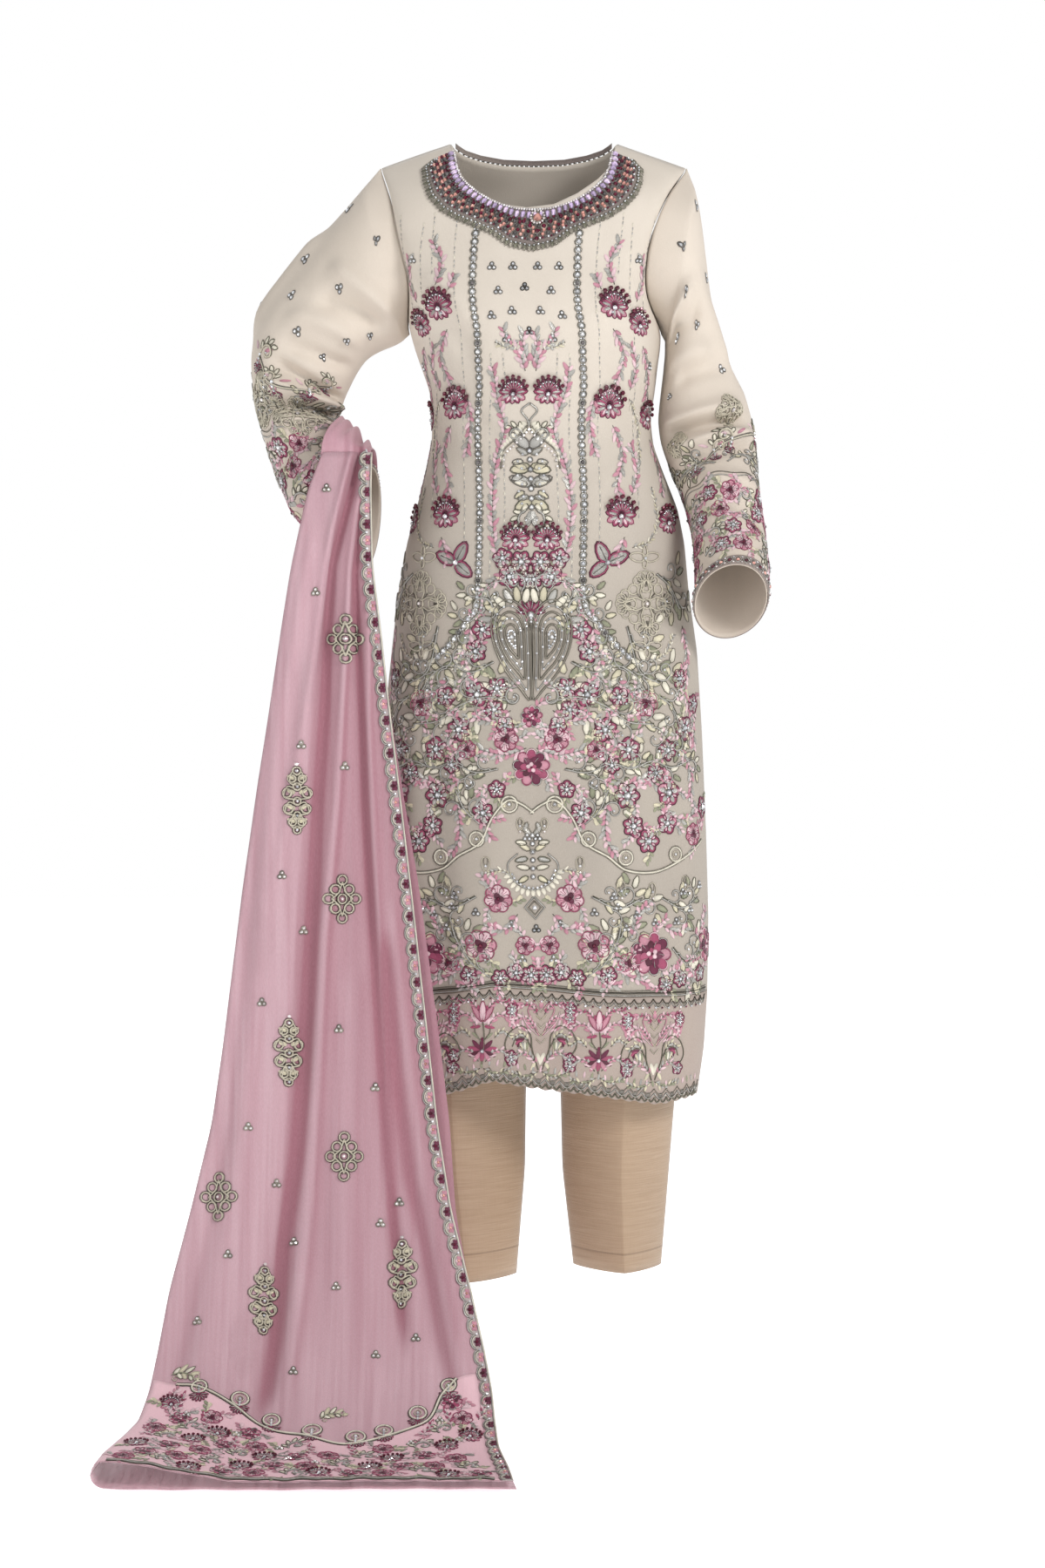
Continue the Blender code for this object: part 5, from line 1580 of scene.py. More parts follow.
piping = {  # in mm; reach is how far round the neck it goes
    "tall": 6.0, "reach": 0.513, "rows": 7, "columns": 120, "thick": 0.9, "bulge": 0.5, "lean": 0.1,
    "above": 1.2, "petals": 64,
}


def neckPipingShell():
    rises = np.linspace(piping["tall"], 0.0, piping["rows"])[:, None]
    us = np.linspace(-piping["reach"], piping["reach"], piping["columns"])
    tops = np.interp(us, neckLine["u"], neckLine["back"])
    base = torsoPoint(us, tops, "back", False)
    bulge = piping["bulge"] * np.sin(rises / piping["tall"] * math.pi)
    y = base[None, :, 1] - piping["lean"] * rises + bulge
    z = (tops + piping["above"])[None, :] + rises
    points = np.stack(np.broadcast_arrays(base[None, :, 0] * 0.995, y, z), axis=-1)
    sewCloth("neckPiping", points, lambda c: c * (1, 1, 0) - (0, -60, 0),
        ("metallic_braid", braidGround, "neck_piping"), thick=piping["thick"])


def pipingBraid():
    work = Stitching("pipingBraid", Facing(backCloth, -1), lift=1.2)
    n = Needle(work)
    for k in range(piping["petals"]):
        u = -0.5 + k / (piping["petals"] - 1)
        z = float(np.interp(u, neckLine["u"], neckLine["back"])) - 3.0
        left, right = torsoSides(z)
        s = -backCloth.sAt(left + (right - left) * (u + 1) / 2, z)
        n.petal(s, z, 40 if k % 2 else -40, 5, 2.6, ("silver", "antique")[k % 2])
    work.finish("metallic_braid")


for makeTrim in (neckTrimShell, neckStones, neckPipingShell, pipingBraid):
    makeTrim()
print("neck trim made")


# Embroidery on the kameez: the right half of its design, as mm from the middle line and heights.

frontMiddle = ((-106, 4), (-200, -6), (-300, -14), (-430, -18), (-600, -14), (-720, -13), (-860, -9),
    (-930, -3), (-1060, 4), (-1110, 4))
frontHalf = {
    "chain": ((59, -104), (60, -244), (60, -403), (61, -525), (74, -553), (93, -577), (113, -596)),
    "dashes": (((82, -92), (80, -260), (78, -470)), ((108, -88), (108, -160)),
        ((120, -100), (128, -250), (126, -440)), ((150, -90), (148, -220)),
        ((31, -250), (29, -310), (32, -500)), ((45, -250), (47, -510))),
    "dots": ((14, -152), (38, -152), (0, -176), (30, -180), (16, -203), (40, -208), (0, -226), (26, -234),
        (134, -142), (158, -262), (96, -880), (118, -890), (104, -905), (92, -868), (180, -866),
        (190, -886), (168, -900), (140, -900), (0, -905), (28, -900), (18, -940), (68, -886), (210, -860),
        (6, -800)),
    "fans": ((104, -192, 8, 0.92), (93, -303, 4, 0.96), (104, -428, 4, 0.92), (138, -212, 12, 0.8),
        (158, -316, 12, 0.85), (172, -436, 10, 0.85), (20, -290, 0, 0.82), (18, -456, 0, 0.82)),
    "vines": (((12, -510), (38, -480), (45, -425), (40, -375), (28, -335), (38, -300), (44, -265)),
        ((6, -270), (12, -250), (24, -238), (30, -222)), ((2, -262), (8, -240), (6, -226)),
        ((98, -222), (112, -252), (98, -285), (90, -296)), ((98, -330), (110, -362), (100, -396),
        (104, -414)), ((104, -172), (96, -148), (106, -124)), ((88, -178), (80, -160)),
        ((108, -458), (98, -486)), ((74, -300), (70, -330), (76, -366)),
        ((118, -410), (128, -380), (122, -350)), ((142, -240), (152, -270), (150, -300)),
        ((164, -345), (172, -380), (166, -412)), ((136, -190), (146, -166), (140, -140)),
        ((120, -290), (130, -262), (122, -240)), ((30, -500), (50, -515), (60, -540), (52, -556)),
        ((70, -560), (78, -600), (70, -630)), ((24, -655), (44, -668), (70, -664), (90, -680)),
        ((98, -622), (120, -640), (128, -668)), ((6, -698), (30, -706), (60, -700)),
        ((80, -735), (104, -742), (130, -734), (150, -744)), ((56, -745), (60, -775), (48, -800)),
        ((86, -760), (84, -800), (96, -822)), ((150, -770), (180, -782), (204, -776)),
        ((180, -700), (198, -730), (196, -758)), ((190, -640), (204, -670), (206, -700)),
        ((20, -888), (34, -905), (58, -902)), ((86, -930), (100, -958), (124, -968)),
        ((150, -905), (170, -912), (186, -905)), ((158, -950), (180, -965), (206, -962)),
        ((62, -950), (74, -968), (96, -970)), ((40, -885), (50, -858), (60, -842)),
        ((110, -915), (120, -890), (136, -876)), ((196, -918), (214, -905), (226, -890)),
        ((190, -560), (196, -600), (188, -640))),
    "silverVines": (((118, -470), (140, -462), (152, -440), (148, -400)),
        ((120, -300), (136, -330), (134, -370)), ((10, -236), (24, -244), (40, -238)),
        ((60, -596), (84, -590), (92, -610)), ((140, -600), (160, -590), (172, -570)),
        ((20, -850), (34, -838), (52, -840))),
    "butterfly": (88, -487, -8), "knot": (136, -534), "bows": ((134, -482), (134, -584)),
    "scrolls": (((20, -520), (34, -508), (54, -520), (60, -545), (80, -560)),
        ((44, -600), (70, -612), (96, -604), (118, -615), (132, -634)),
        ((20, -645), (52, -640), (84, -650), (110, -668), (142, -672)),
        ((38, -722), (64, -726), (92, -716), (116, -722), (142, -714), (168, -722), (200, -712)),
        ((56, -960), (76, -945), (92, -920), (98, -900)), ((160, -930), (178, -948), (200, -940)),
        ((150, -640), (170, -655), (186, -690)), ((60, -785), (78, -768), (88, -745)),
        ((110, -560), (124, -610), (150, -625)), ((150, -872), (176, -884), (204, -874)),
        ((66, -868), (96, -882), (124, -872)), ((150, -500), (172, -516), (186, -540))),
    "blossoms": ((32, -482, 9), (11, -486, 10), (24, -503, 10), (4, -506, 8), (56, -563, 10),
        (65, -588, 10), (63, -637, 11), (40, -630, 10), (43, -654, 9), (84, -677, 11), (112, -700, 11),
        (162, -702, 10), (188, -677, 11), (110, -753, 12), (163, -751, 12), (56, -772, 10), (224, -770, 10),
        (117, -788, 10), (160, -786, 10), (135, -806, 11), (100, -640, 9), (146, -728, 9), (206, -650, 9),
        (9, -958, 9), (26, -955, 8), (44, -961, 8), (80, -958, 8), (170, -966, 8), (204, -962, 8),
        (92, -718, 8), (30, -672, 8), (180, -620, 9), (40, -745, 8), (150, -972, 8)),
    "paleBlossoms": ((41, -870, 15), (65, -924, 17), (14, -924, 10), (133, -648, 14), (29, -688, 13),
        (74, -700, 10), (200, -800, 12), (104, -945, 11)),
    "roses": ((133, -936, 25), (222, -930, 20)),
    "middleRoses": ((0, -720, 21), (0, -662, 12)),
    "garland": ((-2, -772), (12, -762), (28, -758), (46, -778), (60, -806), (86, -822), (107, -838),
        (140, -842), (171, -832), (219, -808)),
    "garlandLoops": ((26, -762, 9), (64, -802, 8), (107, -824, 8), (171, -822, 8)),
    "drops": ((54, -822, 17), (101, -850, 19), (139, -854, 17), (184, -847, 17), (14, -778, 14)),
}


def embroiderHalf(n):
    half = frontHalf
    discChain(n, half["chain"])
    for line in half["dashes"]:
        dashLine(n, line)
    for x, z in half["dots"]:
        triDot(n, x, z)
    for line in half["vines"]:
        vine(n, line)
    for line in half["silverVines"]:
        vine(n, line, 7.0, 2.6, 4.6, ("silver", "ivory", "cream"), "antique")
    for k, line in enumerate(half["scrolls"]):
        scrollwork(n, line, 22 + 4 * (k % 3), 17.0)
    for x, z, angle, size in half["fans"]:
        fanFlower(n.on(x, z, angle, size))
    butterfly(n.on(*half["butterfly"]), 23)
    knotRosette(n.on(*half["knot"]), 40)
    for x, z in half["bows"]:
        bow(n.on(x, z), 40)
    garlandLine(n, half["garland"])
    for x, z, r in half["garlandLoops"]:
        garlandLoop(n, x, z, r)
    for x, z, long_ in half["drops"]:
        dropLoop(n, x, z, long_)
    for k, (x, z, r) in enumerate(half["blossoms"]):
        if z < -540:
            tuft(n, x, z, r, 40 * k)
        blossom(n.on(x, z, 20 * k, 1.18), r, "rose", "silver", ("maroon", "deepMaroon")[k % 2], 5 + k % 2)
    for k, (x, z, r) in enumerate(half["paleBlossoms"]):
        tuft(n, x, z, r, 70 * k)
        paleBlossom(n.on(x, z, 17 * k), r)
    for x, z, r in half["roses"]:
        tuft(n, x, z, r, x, 24)
        gardenRose(n.on(x, z, x), r)


def embroiderFront():
    work = Stitching("frontWork", Facing(frontCloth, middle=frontMiddle))
    n = Needle(work)
    for flip in (1, -1):
        embroiderHalf(n.on(0, 0, 0, 1, flip))
    for x, z, r in frontHalf["middleRoses"]:
        tuft(n, x, z, r, 15)
        gardenRose(n.on(x, z), r)
    ogee(n.on(0, -394, 0, 1.0))
    heartMotif(n.on(0, -584), 92, 104)
    palmette(n.on(0, -544), 17)
    medallion(n.on(0, -826, 0, 0.95))
    work.finish("beaded_trim")
    cord = Stitching("frontSeamCord", Facing(frontCloth))
    seamCord(Needle(cord), frontCloth)
    cord.finish("hem_lace")


def seamLine(cloth, flip, z0=2.0, name="seam", step=3.0):  # the join of the hem lace, from side to side
    us = np.linspace(-0.985, 0.985, 400)
    zs = np.interp(us, hemLine["u"], hemLine[name]) + z0
    left, right = torsoSides(zs)
    s = np.array([cloth.sAt(x, z) for x, z in zip(left + (right - left) * (us + 1) / 2, zs)]) * flip
    order = np.argsort(s)
    even = np.arange(s.min() + 1, s.max() - 1, step)
    return np.column_stack([even, np.interp(even, s[order], zs[order])])


def seamCord(n, cloth, flip=1):
    n.thread(seamLine(cloth, flip, 4.0), "darkBraid", 2.0, 0.2)
    n.thread(seamLine(cloth, flip, 1.0), "silver", 1.6, 0.2)
    n.thread(seamLine(cloth, flip, 6.6), "antique", 1.2, 0.2)


def laceGroundwork(n):  # sprays that fill the net between the flowers, drawn to both sides
    for flip in (1, -1):
        m = n.on(0, 0, 0, 1, flip)
        vine(m, [(4, -32), (14, -20), (26, -20), (33, -32)], 8, 3.4, 5.0, ("pink", "palePink", "silver"))
        vine(m, [(6, 8), (16, 22), (28, 20), (34, 10)], 8, 3.4, 5.0, ("palePink", "pink"))
        vine(m, [(4, 26), (14, 38), (26, 36), (34, 40)], 7, 3.0, 4.8, ("rose", "pink", "palePink"))
        vine(m, [(2, -40), (14, -46), (30, -42)], 7, 3.0, 4.6, ("silver", "cream", "oliveLeaf"), "olive")
        vine(m, [(14, -4), (22, 4), (33, -2)], 7, 3.0, 4.6, ("cream", "silver"), "olive")
        blossom(m.on(33, -26), 7, "rose", "silver", "maroon", 5)
        blossom(m.on(33.5, 28), 6, "pink", "silver", "rose", 5)


def embroiderHem(name, cloth, flip):
    work = Stitching(name, Facing(cloth, flip))
    n = Needle(work)
    top, low = seamLine(cloth, flip, -3.0), seamLine(cloth, flip, 5.0, "hem")
    scallops(n, top, 12.0, 6.0, "darkBraid", 1.4)
    scallops(n, seamLine(cloth, flip, -7.0), 12.0, 6.0, "silver", 1.5, "antique")
    scallops(n, low, 8.2, 5.5, "olive", 2.0)
    scallops(n, seamLine(cloth, flip, 10.0, "hem"), 16.4, 7.0, "silver", 2.0, "pewter")
    scallops(n, seamLine(cloth, flip, 15.0, "hem"), 16.4, 7.0, "antique", 1.4)
    for k, s in enumerate(np.arange(-199, 232, 67.0)):
        if not low[0, 0] + 24 < s + 4 < low[-1, 0] - 24:
            continue
        z = float(np.interp(s, top[:, 0], top[:, 1]) + np.interp(s, low[:, 0], low[:, 1])) / 2 + 1
        laceGroundwork(n.on(s, z))
        if k % 2:
            irisTree(n.on(s, z, 0, 1.08), 84)
        else:
            lily(n.on(s, z + 4, 0, 1.05), 84)
    for k, s in enumerate(np.arange(-216, 232, 8.4)):
        if low[0, 0] + 6 < s < low[-1, 0] - 6:
            z = float(np.interp(s, low[:, 0], low[:, 1]))
            n.petal(s, z + 12, 14 * math.sin(k), 8, 3.0, ("oliveLeaf", "silver", "palePink")[k % 3])
            z = float(np.interp(s, top[:, 0], top[:, 1]))
            n.bead(s, z - 10, 2.8, ("crystal", "maroonBead")[k % 2])
    work.finish("hem_lace")


def embroiderBack():
    work = Stitching("backWork", Facing(backCloth, -1))
    n = Needle(work)
    for k in range(9):
        for j in range(4 + k % 2):
            triDot(n, -104 + 64 * j - 30 * (k % 2), -130 - 92 * k)
    seamCord(n, backCloth, -1)
    work.finish("beaded_trim")


embroiderFront()
embroiderBack()
embroiderHem("hemFrontWork", frontCloth, 1)
embroiderHem("hemBackWork", backCloth, -1)
print("kameez embroidered")


# Embroidery on the sleeves: mm round the arm to the right of the front line, and mm down from the armhole.

sleevePlan = {
    "right": {"dots": ((-89, 41), (-20, 22), (-8, 83), (58, 77), (-74, 98), (-14, 149), (28, 152),
        (-50, 128), (36, 112), (-100, 150)), "scrolls": ((-47, 190), (-14, 214), (22, 208), (52, 186)),
        "knots": ((-35, 232), (12, 250)), "bandTop": 262, "cuff": 404},
    "left": {"dots": ((14, 24), (77, 35), (-1, 61), (17, 113), (44, 170), (-30, 90), (-46, 160), (60, 92),
        (90, 130)), "scrolls": ((-79, 292), (-34, 284), (-4, 268), (20, 257), (74, 245)),
        "knots": ((-50, 240), (30, 215)), "bandTop": 310, "cuff": 448},
}


def embroiderSleeve(wearer, cloth):
    plan = sleevePlan[wearer]
    work = Stitching("sleeveWork" + wearer.capitalize(), Facing(cloth, cloth.out, -1))
    n = Needle(work)
    for x, run in plan["dots"]:
        triDot(n, x, -run)
    garlandLine(n, [(x, -run) for x, run in plan["scrolls"]], "gold", "pewter", 2.0)
    for k, (x, run) in enumerate(plan["scrolls"]):
        curl(n.on(x, -run + 4, 30 * (-1) ** k, 1, (-1) ** k), 17)
        palmette(n.on(x, -run - 8, 180), 9)
        n.petal(x + 6, -run + 6, 60, 12, 4, "pink")
        n.petal(x - 6, -run + 6, -60, 12, 4, "palePink")
    for x, run in plan["knots"]:
        knotRosette(n.on(x, -run), 21 if wearer == "left" else 30)
    rows = np.arange(plan["bandTop"] + 22, plan["cuff"] - 20, 26)
    for j, run in enumerate(rows):
        for k, x in enumerate(np.arange(-104 + 13 * (j % 2), 105, 26)):
            spot = n.on(x + 3 * math.sin(5 * k + j), -run + 3 * math.sin(3 * k), 30 * k)
            tuft(spot, 0, 0, 9, 50 * k + 20 * j, 15)
            if (j + k) % 3 == 0:
                blossom(spot, 10, "rose", "silver", "maroon", 6)
            elif (j + k) % 3 == 1:
                paleBlossom(spot, 11)
            else:
                curl(spot, 16, "silver")
    for side in (-1, 1):
        scrollwork(n, [(side * 8, -plan["bandTop"] + 20), (side * 34, -plan["bandTop"] + 34),
            (side * 62, -plan["bandTop"] + 22), (side * 96, -plan["bandTop"] + 30)], 20)
    for run in (plan["bandTop"], plan["bandTop"] + 5):
        n.thread([(x, -run - 2.5 * math.sin(x / 7)) for x in np.arange(-118, 118, 2.5)],
            ("antique", "silver")[run % 2], 1.4, 0.2)
    work.finish("metallic_braid")


cuff = {"wide": 15, "rise": 1.5, "thick": 0.9, "columns": 120, "rows": 9, "stoneRise": 1.7, "pitch": 9.2}


def cuffShell(wearer, cloth):
    turns = np.linspace(0, 2 * math.pi, cuff["columns"], endpoint=False)[None, :]
    runs = np.linspace(cloth.length - cuff["wide"], cloth.length + 0.4, cuff["rows"])[:, None]
    points = cloth.point(turns, np.minimum(runs, cloth.length), False)
    centre = points.mean(axis=1, keepdims=True)
    out = points - centre
    out = out / np.linalg.norm(out, axis=-1, keepdims=True)
    middle = centre.mean(axis=0)
    sewCloth("cuffTrim" + wearer.capitalize(), points + out * cuff["rise"], lambda c: c - middle,
        ("metallic_braid", braidGround, "cuff_trim_" + wearer), closed=True, thick=cuff["thick"])
    work = Stitching("cuffStones" + wearer.capitalize(), Facing(cloth, cloth.out, -1),
        lift=cuff["stoneRise"])
    n = Needle(work)
    radius = float(cloth.girth(cloth.length - 8))
    count = int(2 * math.pi * radius / cuff["pitch"])
    for k in range(count):
        x, y = (k / count - 0.5) * 2 * math.pi * radius, cuff["wide"] / 2 - cloth.length
        corners = [(x, y + 5), (x + 4.2, y), (x, y - 5), (x - 4.2, y), (x, y + 5)]
        n.thread(corners, "silver", 1.3, 0.2)
        n.gem(x, y, 4.4, ("maroonBead", "peach")[k % 2], 0.5)
        n.bead(x + 4.6, y + 4, 2.3, "crystal")
        n.bead(x + 4.6, y - 4, 2.3, "pearl")
    work.finish("metallic_braid")


for makeWork in (embroiderSleeve, cuffShell):
    makeWork("right", rightSleeve)
    makeWork("left", leftSleeve)
print("sleeves embroidered")


# Dupatta border, side lace and embroidery: x in mm and mm down the fall from its top.

garlandRun = ((-430, 1052), (-392, 1058), (-366, 1065), (-327, 1089), (-291, 1122), (-249, 1137),
    (-204, 1158), (-162, 1140), (-117, 1113), (-100, 1072), (-84, 1052), (-30, 1035))
fallPlan = {
    "loops": ((-366, 1065, 8), (-321, 1080, 9), (-285, 1109, 9), (-240, 1128, 10), (-192, 1142, 10),
        (-162, 1128, 9), (-126, 1100, 9), (-93, 1060, 8)),
    "tallKnots": ((-267, 396), (-276, 681), (-300, 960), (-146, 930)),
    "diamondKnots": ((-212, 213), (-216, 507), (-212, 798), (-352, 843)),
    "ghosts": ((-250, 258), (-310, 555), (-250, 888), (-321, 1010)),
    "dots": ((-234, 42), (-246, 160), (-262, 333), (-213, 357), (-284, 480), (-260, 543), (-306, 624),
        (-219, 654), (-320, 765), (-288, 828), (-340, 909), (-267, 894), (-219, 945), (-171, 873),
        (-178, 720), (-150, 849), (-372, 984), (-130, 1003), (-174, 1023), (-264, 1044), (-378, 1104),
        (-321, 1140), (-273, 1165), (-261, 1204), (-232, 1218), (-102, 1110), (-132, 1155), (-165, 1187),
        (-80, 1150)),
    "sprigs": ((-410, 1164, -20), (-392, 1100, 20), (-354, 1130, -10), (-326, 1176, 10), (-240, 1190, 0),
        (-190, 1190, -16), (-120, 1140, 20), (-90, 1122, -14), (-60, 1110, 12)),
    "laceWide": 13.0, "stonePitch": 18.5,
}


endBorder = {"thick": 0.4, "columns": 66, "rows": 46, "rise": 0.7, "insideLace": 13.5, "insideFold": 3.0}
sideLace = {"thick": 0.5, "columns": 6, "rows": 420, "rise": 0.8}


def borderShell():
    part = np.linspace(0, 1, endBorder["columns"])[None, :]
    edge = lambda run: (fallAt("right", run) - endBorder["insideLace"],
        fallAt("left", run) + endBorder["insideFold"])
    start = np.full(part.shape, 1090.0)
    xs, ys = [p[0] for p in garlandRun], [p[1] for p in garlandRun]
    for again in range(3):  # each pass places the upper edge better on the garland
        right, left = edge(start)
        start = np.interp(right + (left - right) * part, xs, ys)
    run = start + (fallLength - 1.5 - start) * np.linspace(0, 1, endBorder["rows"])[:, None]
    right, left = edge(run)
    x = right + (left - right) * part
    sewCloth("dupattaEndBorder", upperCloth.at(x, run, endBorder["rise"]), (0.0, -1.0, 0.3),
        ("rose_border", roseBorder, "dupatta_end_border"), thick=endBorder["thick"],
        uv=np.stack([x, run], axis=-1), depth=foldShade(x, run) * 0.5)


def sideLaceShell():
    runs = np.linspace(0, fallLength, sideLace["rows"])[:, None]
    scallop = 1.6 * np.abs(np.sin(runs * math.pi / fallPlan["stonePitch"]))
    share = np.linspace(0, 1, sideLace["columns"])[None, :]
    x = fallAt("right", runs) + 0.8 - (fallPlan["laceWide"] - 2 + 2 * scallop) * share
    run = runs + 0 * x
    sewCloth("dupattaSideLace", upperCloth.at(x, run, sideLace["rise"]), (0.0, -1.0, 0.2),
        ("metallic_braid", laceGround, "dupatta_side_lace"), thick=sideLace["thick"],
        uv=np.stack([x, run], axis=-1))


def embroiderFall():
    work = Stitching("dupattaWork", Facing(upperCloth, 1, -1), lift=0.5)
    n = Needle(work)
    for x, run in fallPlan["tallKnots"]:
        tallKnot(n.on(x, -run), 32, 74)
    for x, run in fallPlan["diamondKnots"]:
        diamondKnot(n.on(x, -run), 36, 54)
    for x, run in fallPlan["dots"]:
        triDot(n, x, -run, "pearl", "antique")
    low = n.on(0, 0)
    work.lift = 0.9
    garlandLine(low, [(x, -run) for x, run in garlandRun[1:-1]], "ivory", "darkBraid", 3.2)
    for x, run, r in fallPlan["loops"]:
        garlandLoop(low, x, -run, r, "ivory", "darkBraid")
        palmette(low.on(x, -run - r - 2, 180), 11)
    for j, run in enumerate((1086, 1112, 1138, 1166, 1196, 1228, 1252)):
        left, right = float(fallAt("left", run)) + 30, float(fallAt("right", run)) - 24
        for k, x in enumerate(np.arange(left + 17 * (j % 2), right, 34)):
            if run < np.interp(x, *zip(*garlandRun)) + 20:
                continue
            spot = low.on(x, -run - 3 * math.sin(4 * k), 14 * math.sin(3 * k + j))
            tuft(spot, 0, 0, 9, 50 * k + 31 * j, 14)
            if (j + k) % 4 == 0:
                fanFlower(spot.on(0, 0, 0, 0.62))
            elif (j + k) % 4 == 1:
                gardenRose(spot, 12)
            elif (j + k) % 4 == 2:
                paleBlossom(spot, 11)
            else:
                curl(spot, 19, "silver")
    for drop, colour in ((3.0, "darkBraid"), (6.0, "silver"), (9.5, "antique")):
        low.thread([(x, -fallLength + drop + 1.6 * math.sin(x / 5)) for x in np.arange(-446, -40, 3.0)],
            colour, 2.2, 0.2)
    for x, run, angle in fallPlan["sprigs"]:
        sprig(low.on(x, -run, angle), 26, 5, ("rose", "palePink"), 3)
    acanthus(low.on(-398, -1046, 20), 30)
    acanthus(low.on(-232, -1108, -10), 26)
    work.finish("rose_border")


def embroiderUnder():  # knots on the layer beneath, which show through the upper one
    work = Stitching("dupattaUnderWork", Facing(underCloth, 1, -1), lift=2.0)
    n = Needle(work)
    for k, (x, run) in enumerate(fallPlan["ghosts"]):
        if k % 2:
            tallKnot(n.on(x, -run), 32, 74)
        else:
            diamondKnot(n.on(x, -run), 36, 54)
    work.finish("rose_chiffon")


def laceStones():
    work = Stitching("sideLaceStones", Facing(upperCloth, 1, -1), lift=1.0)
    n = Needle(work)
    for k, run in enumerate(np.arange(9.0, fallLength - 6, fallPlan["stonePitch"])):
        x = float(fallAt("right", run)) - 5.6
        m = n.on(x, -run)
        m.thread(arc(-0.6, 0, 6.6, 180, 360, 9, 1.35), "silver", 2.0, 0.2)
        m.thread(arc(-0.6, 0, 4.8, 190, 350, 9, 1.35), "ivory", 1.4, 0.2)
        for j, a in enumerate((-38, -90, -142)):
            m.petal(2.6, 0, a, 6.6, 5.0, (("maroon", "deepMaroon"), ("pink", "palePink"))[k % 2][j % 2],
                0.3)
        m.petal(2.6, 0, 0, 6.0, 3.0, ("maroon", "pink")[k % 2], 0.3)
        m.petal(2.6, 0, 180, 6.0, 3.0, ("maroon", "pink")[k % 2], 0.3)
        m.gem(0, 0, 3.6, ("maroonBead", "peach")[k % 2], 1.2)
        m.bead(-0.6, 9.2, 3.0, "crystal", 0.3)
    for shift, colour in ((0.0, "ivory"), (-1.0, "silver")):
        n.thread([(float(fallAt("right", run)) + shift, -run) for run in np.arange(2, fallLength - 2, 6.0)],
            colour, 1.6, 0.1)
    work.finish("metallic_braid")


for makeWork in (borderShell, sideLaceShell, embroiderFall, embroiderUnder, laceStones):
    makeWork()
print("dupatta embroidered")


# Sheets, each with the size that it was cut to, in metres.

sheetTable = (  # piece, cut width and length, area unless a rectangle, how it is held, on what, sewn on
    ("kameezFront", 0.50, 0.99, 0.42, "hung", ("kameezBack",), ("frontWork", "frontSeamCord")),
    ("kameezBack", 0.50, 0.99, 0.42, "hung", ("kameezFront",), ("backWork", "neckPiping", "pipingBraid")),
    ("neckTrim", 0.04, 0.36, None, "laid", ("kameezFront",), ("neckStones",)),
    ("hemFront", 0.50, 0.115, None, "hung", ("kameezFront",), ("hemFrontWork",)),
    ("hemBack", 0.50, 0.115, None, "hung", ("kameezBack",), ("hemBackWork",)),
    ("sleeveRight", 0.40, 0.41, 0.143, "hung", ("kameezFront", "kameezBack"), ("sleeveWorkRight",)),
    ("sleeveLeft", 0.40, 0.45, 0.150, "hung", ("kameezFront", "kameezBack"), ("sleeveWorkLeft",)),
    ("cuffTrimRight", 0.31, 0.015, None, "laid", ("sleeveRight",), ("cuffStonesRight",)),
    ("cuffTrimLeft", 0.32, 0.015, None, "laid", ("sleeveLeft",), ("cuffStonesLeft",)),
    ("trouserWaist", 0.68, 0.04, None, "gathered", ("trouserFrontRight", "trouserFrontLeft"), ()),
    ("trouserFrontRight", 0.24, 0.92, 0.20, "hung", ("trouserWaist",), ()),
    ("trouserFrontLeft", 0.24, 0.92, 0.20, "hung", ("trouserWaist",), ()),
    ("trouserBackRight", 0.24, 0.92, 0.20, "hung", ("trouserWaist",), ()),
    ("trouserBackLeft", 0.24, 0.92, 0.20, "hung", ("trouserWaist",), ()),
    ("dupattaUpperLayer", 0.42, 1.275, 0.325, "draped", ("dupattaOverArm", "dupattaUnderLayer"),
        ("dupattaWork",)),
    ("dupattaUnderLayer", 0.42, 1.275, 0.325, "draped", ("dupattaOverArm",), ("dupattaUnderWork",)),
    ("dupattaEndBorder", 0.42, 0.22, 0.067, "laid", ("dupattaUpperLayer",), ()),
    ("dupattaSideLace", 0.0135, 1.275, None, "hung", ("dupattaUpperLayer",), ("sideLaceStones",)),
    ("dupattaOverArm", 0.06, 0.27, None, "gathered", ("sleeveRight",), ()),
    ("dupattaBackFall", 0.16, 0.941, None, "gathered", ("dupattaOverArm",), ()),
)

for name, width, length, area, held, rests, sewn in sheetTable:
    list(rests)


# Camera, floor and lights.

studio = {
    "white": 1.0, "glow": 0.40, "floorGlow": 0.66,
    "lamps": (("key", (2.5, -2.7, 1.5), (0, 0, -0.6), 1.2, 92),
        ("fill", (-2.4, -3.0, 0.4), (0, 0, -0.8), 2.4, 26), ("rim", (-0.9, 2.6, 1.4), (0, 0, -0.6), 2.2,
        30)),
    "camera": {"place": (-0.012, -4.08, -0.4908), "tilt": 3.58, "lens": 80.0},
}


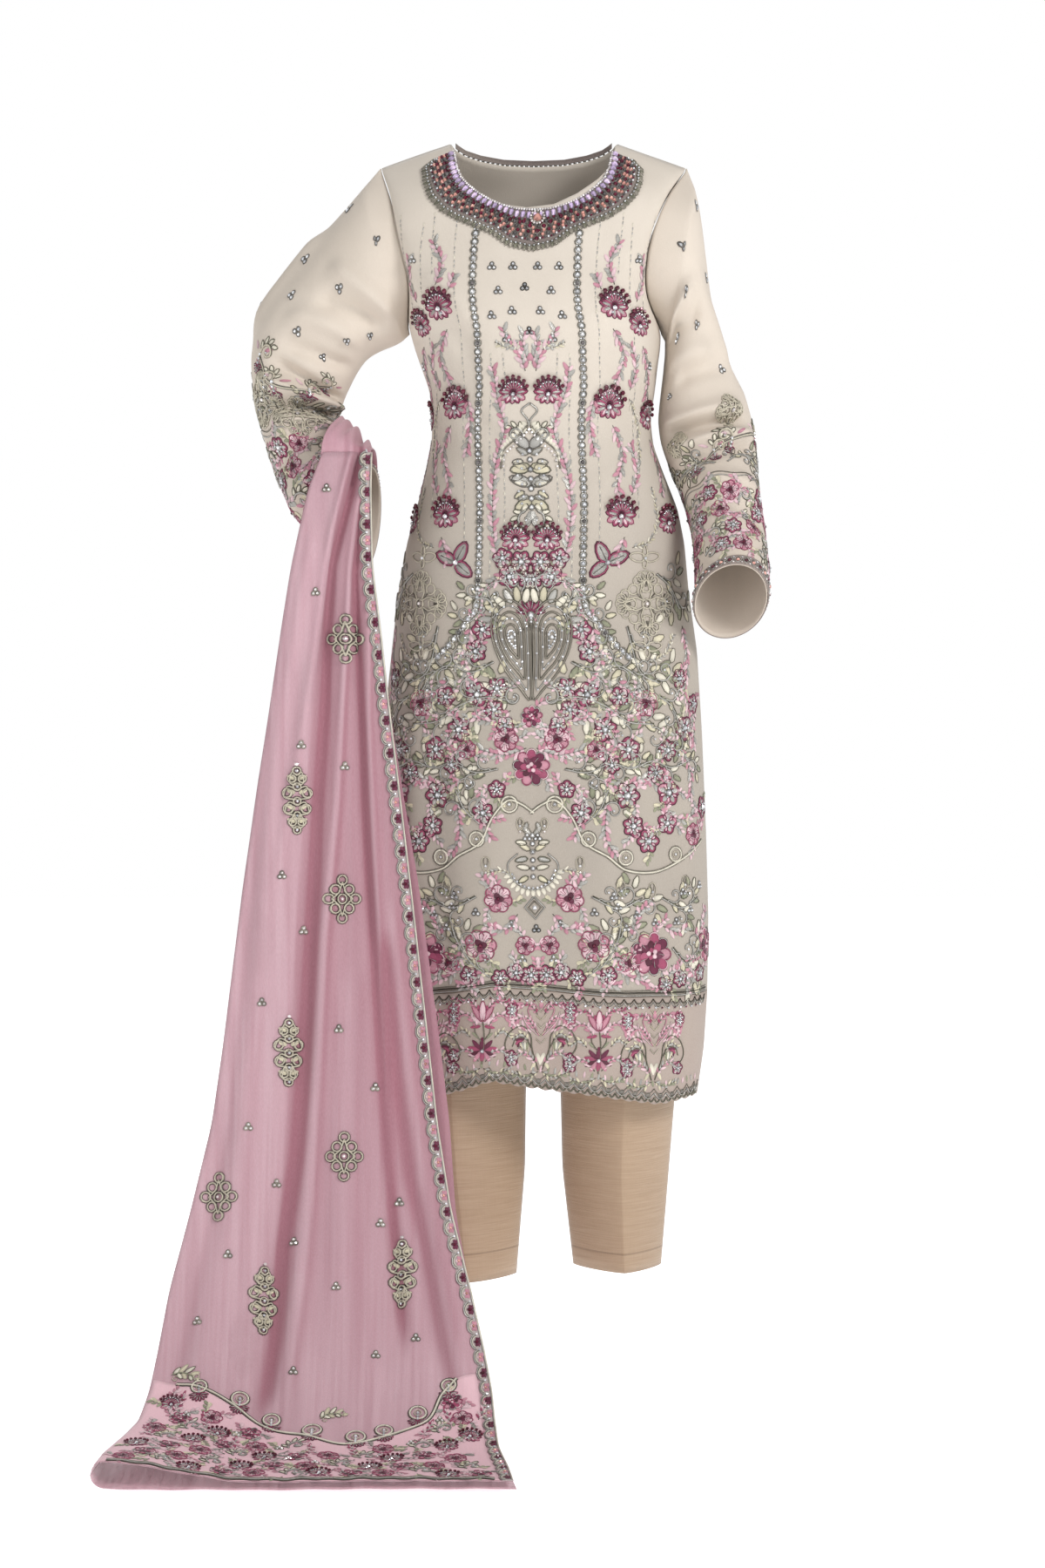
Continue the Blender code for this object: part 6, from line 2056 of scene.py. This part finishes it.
def makeFloor():
    shape = bmesh.new()
    bmesh.ops.create_grid(shape, x_segments=2, y_segments=2, size=6.0)
    bmesh.ops.translate(shape, verts=shape.verts, vec=(0, 0, -1.4555))
    floor = newPiece("floor", shape)
    paper = Finish("floorPaper", Roughness=0.95, Specular_IOR_Level=0.1, Emission_Color=(1, 1, 1),
        Emission_Strength=studio["floorGlow"])
    grain = paper.noise(paper.place(), 60.0, 2.0)
    paper.set("Base_Color", paper.mix(grain * 0.3, (0.95, 0.95, 0.95), (0.91, 0.91, 0.91)))
    floor.data.materials.append(paper.material)


def makeLight():
    world = bpy.data.worlds.new("studio")
    world.use_nodes = True
    tree = world.node_tree
    seen, glow = tree.nodes["Background"], tree.nodes.new("ShaderNodeBackground")
    seen.inputs["Strength"].default_value = studio["white"]
    seen.inputs["Color"].default_value = (1, 1, 1, 1)
    glow.inputs["Strength"].default_value = studio["glow"]
    glow.inputs["Color"].default_value = (1, 1, 1, 1)
    path, pick = tree.nodes.new("ShaderNodeLightPath"), tree.nodes.new("ShaderNodeMixShader")
    tree.links.new(path.outputs["Is Camera Ray"], pick.inputs["Fac"])
    tree.links.new(glow.outputs[0], pick.inputs[1])
    tree.links.new(seen.outputs[0], pick.inputs[2])
    tree.links.new(pick.outputs[0], tree.nodes["World Output"].inputs["Surface"])
    bpy.context.scene.world = world
    for name, place, aim, size, power in studio["lamps"]:
        lamp = bpy.data.lights.new(name, "AREA")
        lamp.size, lamp.energy = size, power
        light = bpy.data.objects.new(name, lamp)
        light.location = place
        light.rotation_euler = (Vector(aim) - Vector(place)).to_track_quat("-Z", "Y").to_euler()
        bpy.context.scene.collection.objects.link(light)


def makeCamera():
    view = studio["camera"]
    lens = bpy.data.cameras.new("camera")
    lens.lens, lens.sensor_width, lens.sensor_fit = view["lens"], 36.0, "AUTO"
    camera = bpy.data.objects.new("camera", lens)
    camera.location = view["place"]
    camera.rotation_euler = (math.radians(90 - view["tilt"]), 0, 0)
    bpy.context.scene.collection.objects.link(camera)
    bpy.context.scene.camera = camera
    bpy.context.scene.view_settings.view_transform = "Standard"


makeFloor()
makeLight()
makeCamera()
print("stage made")
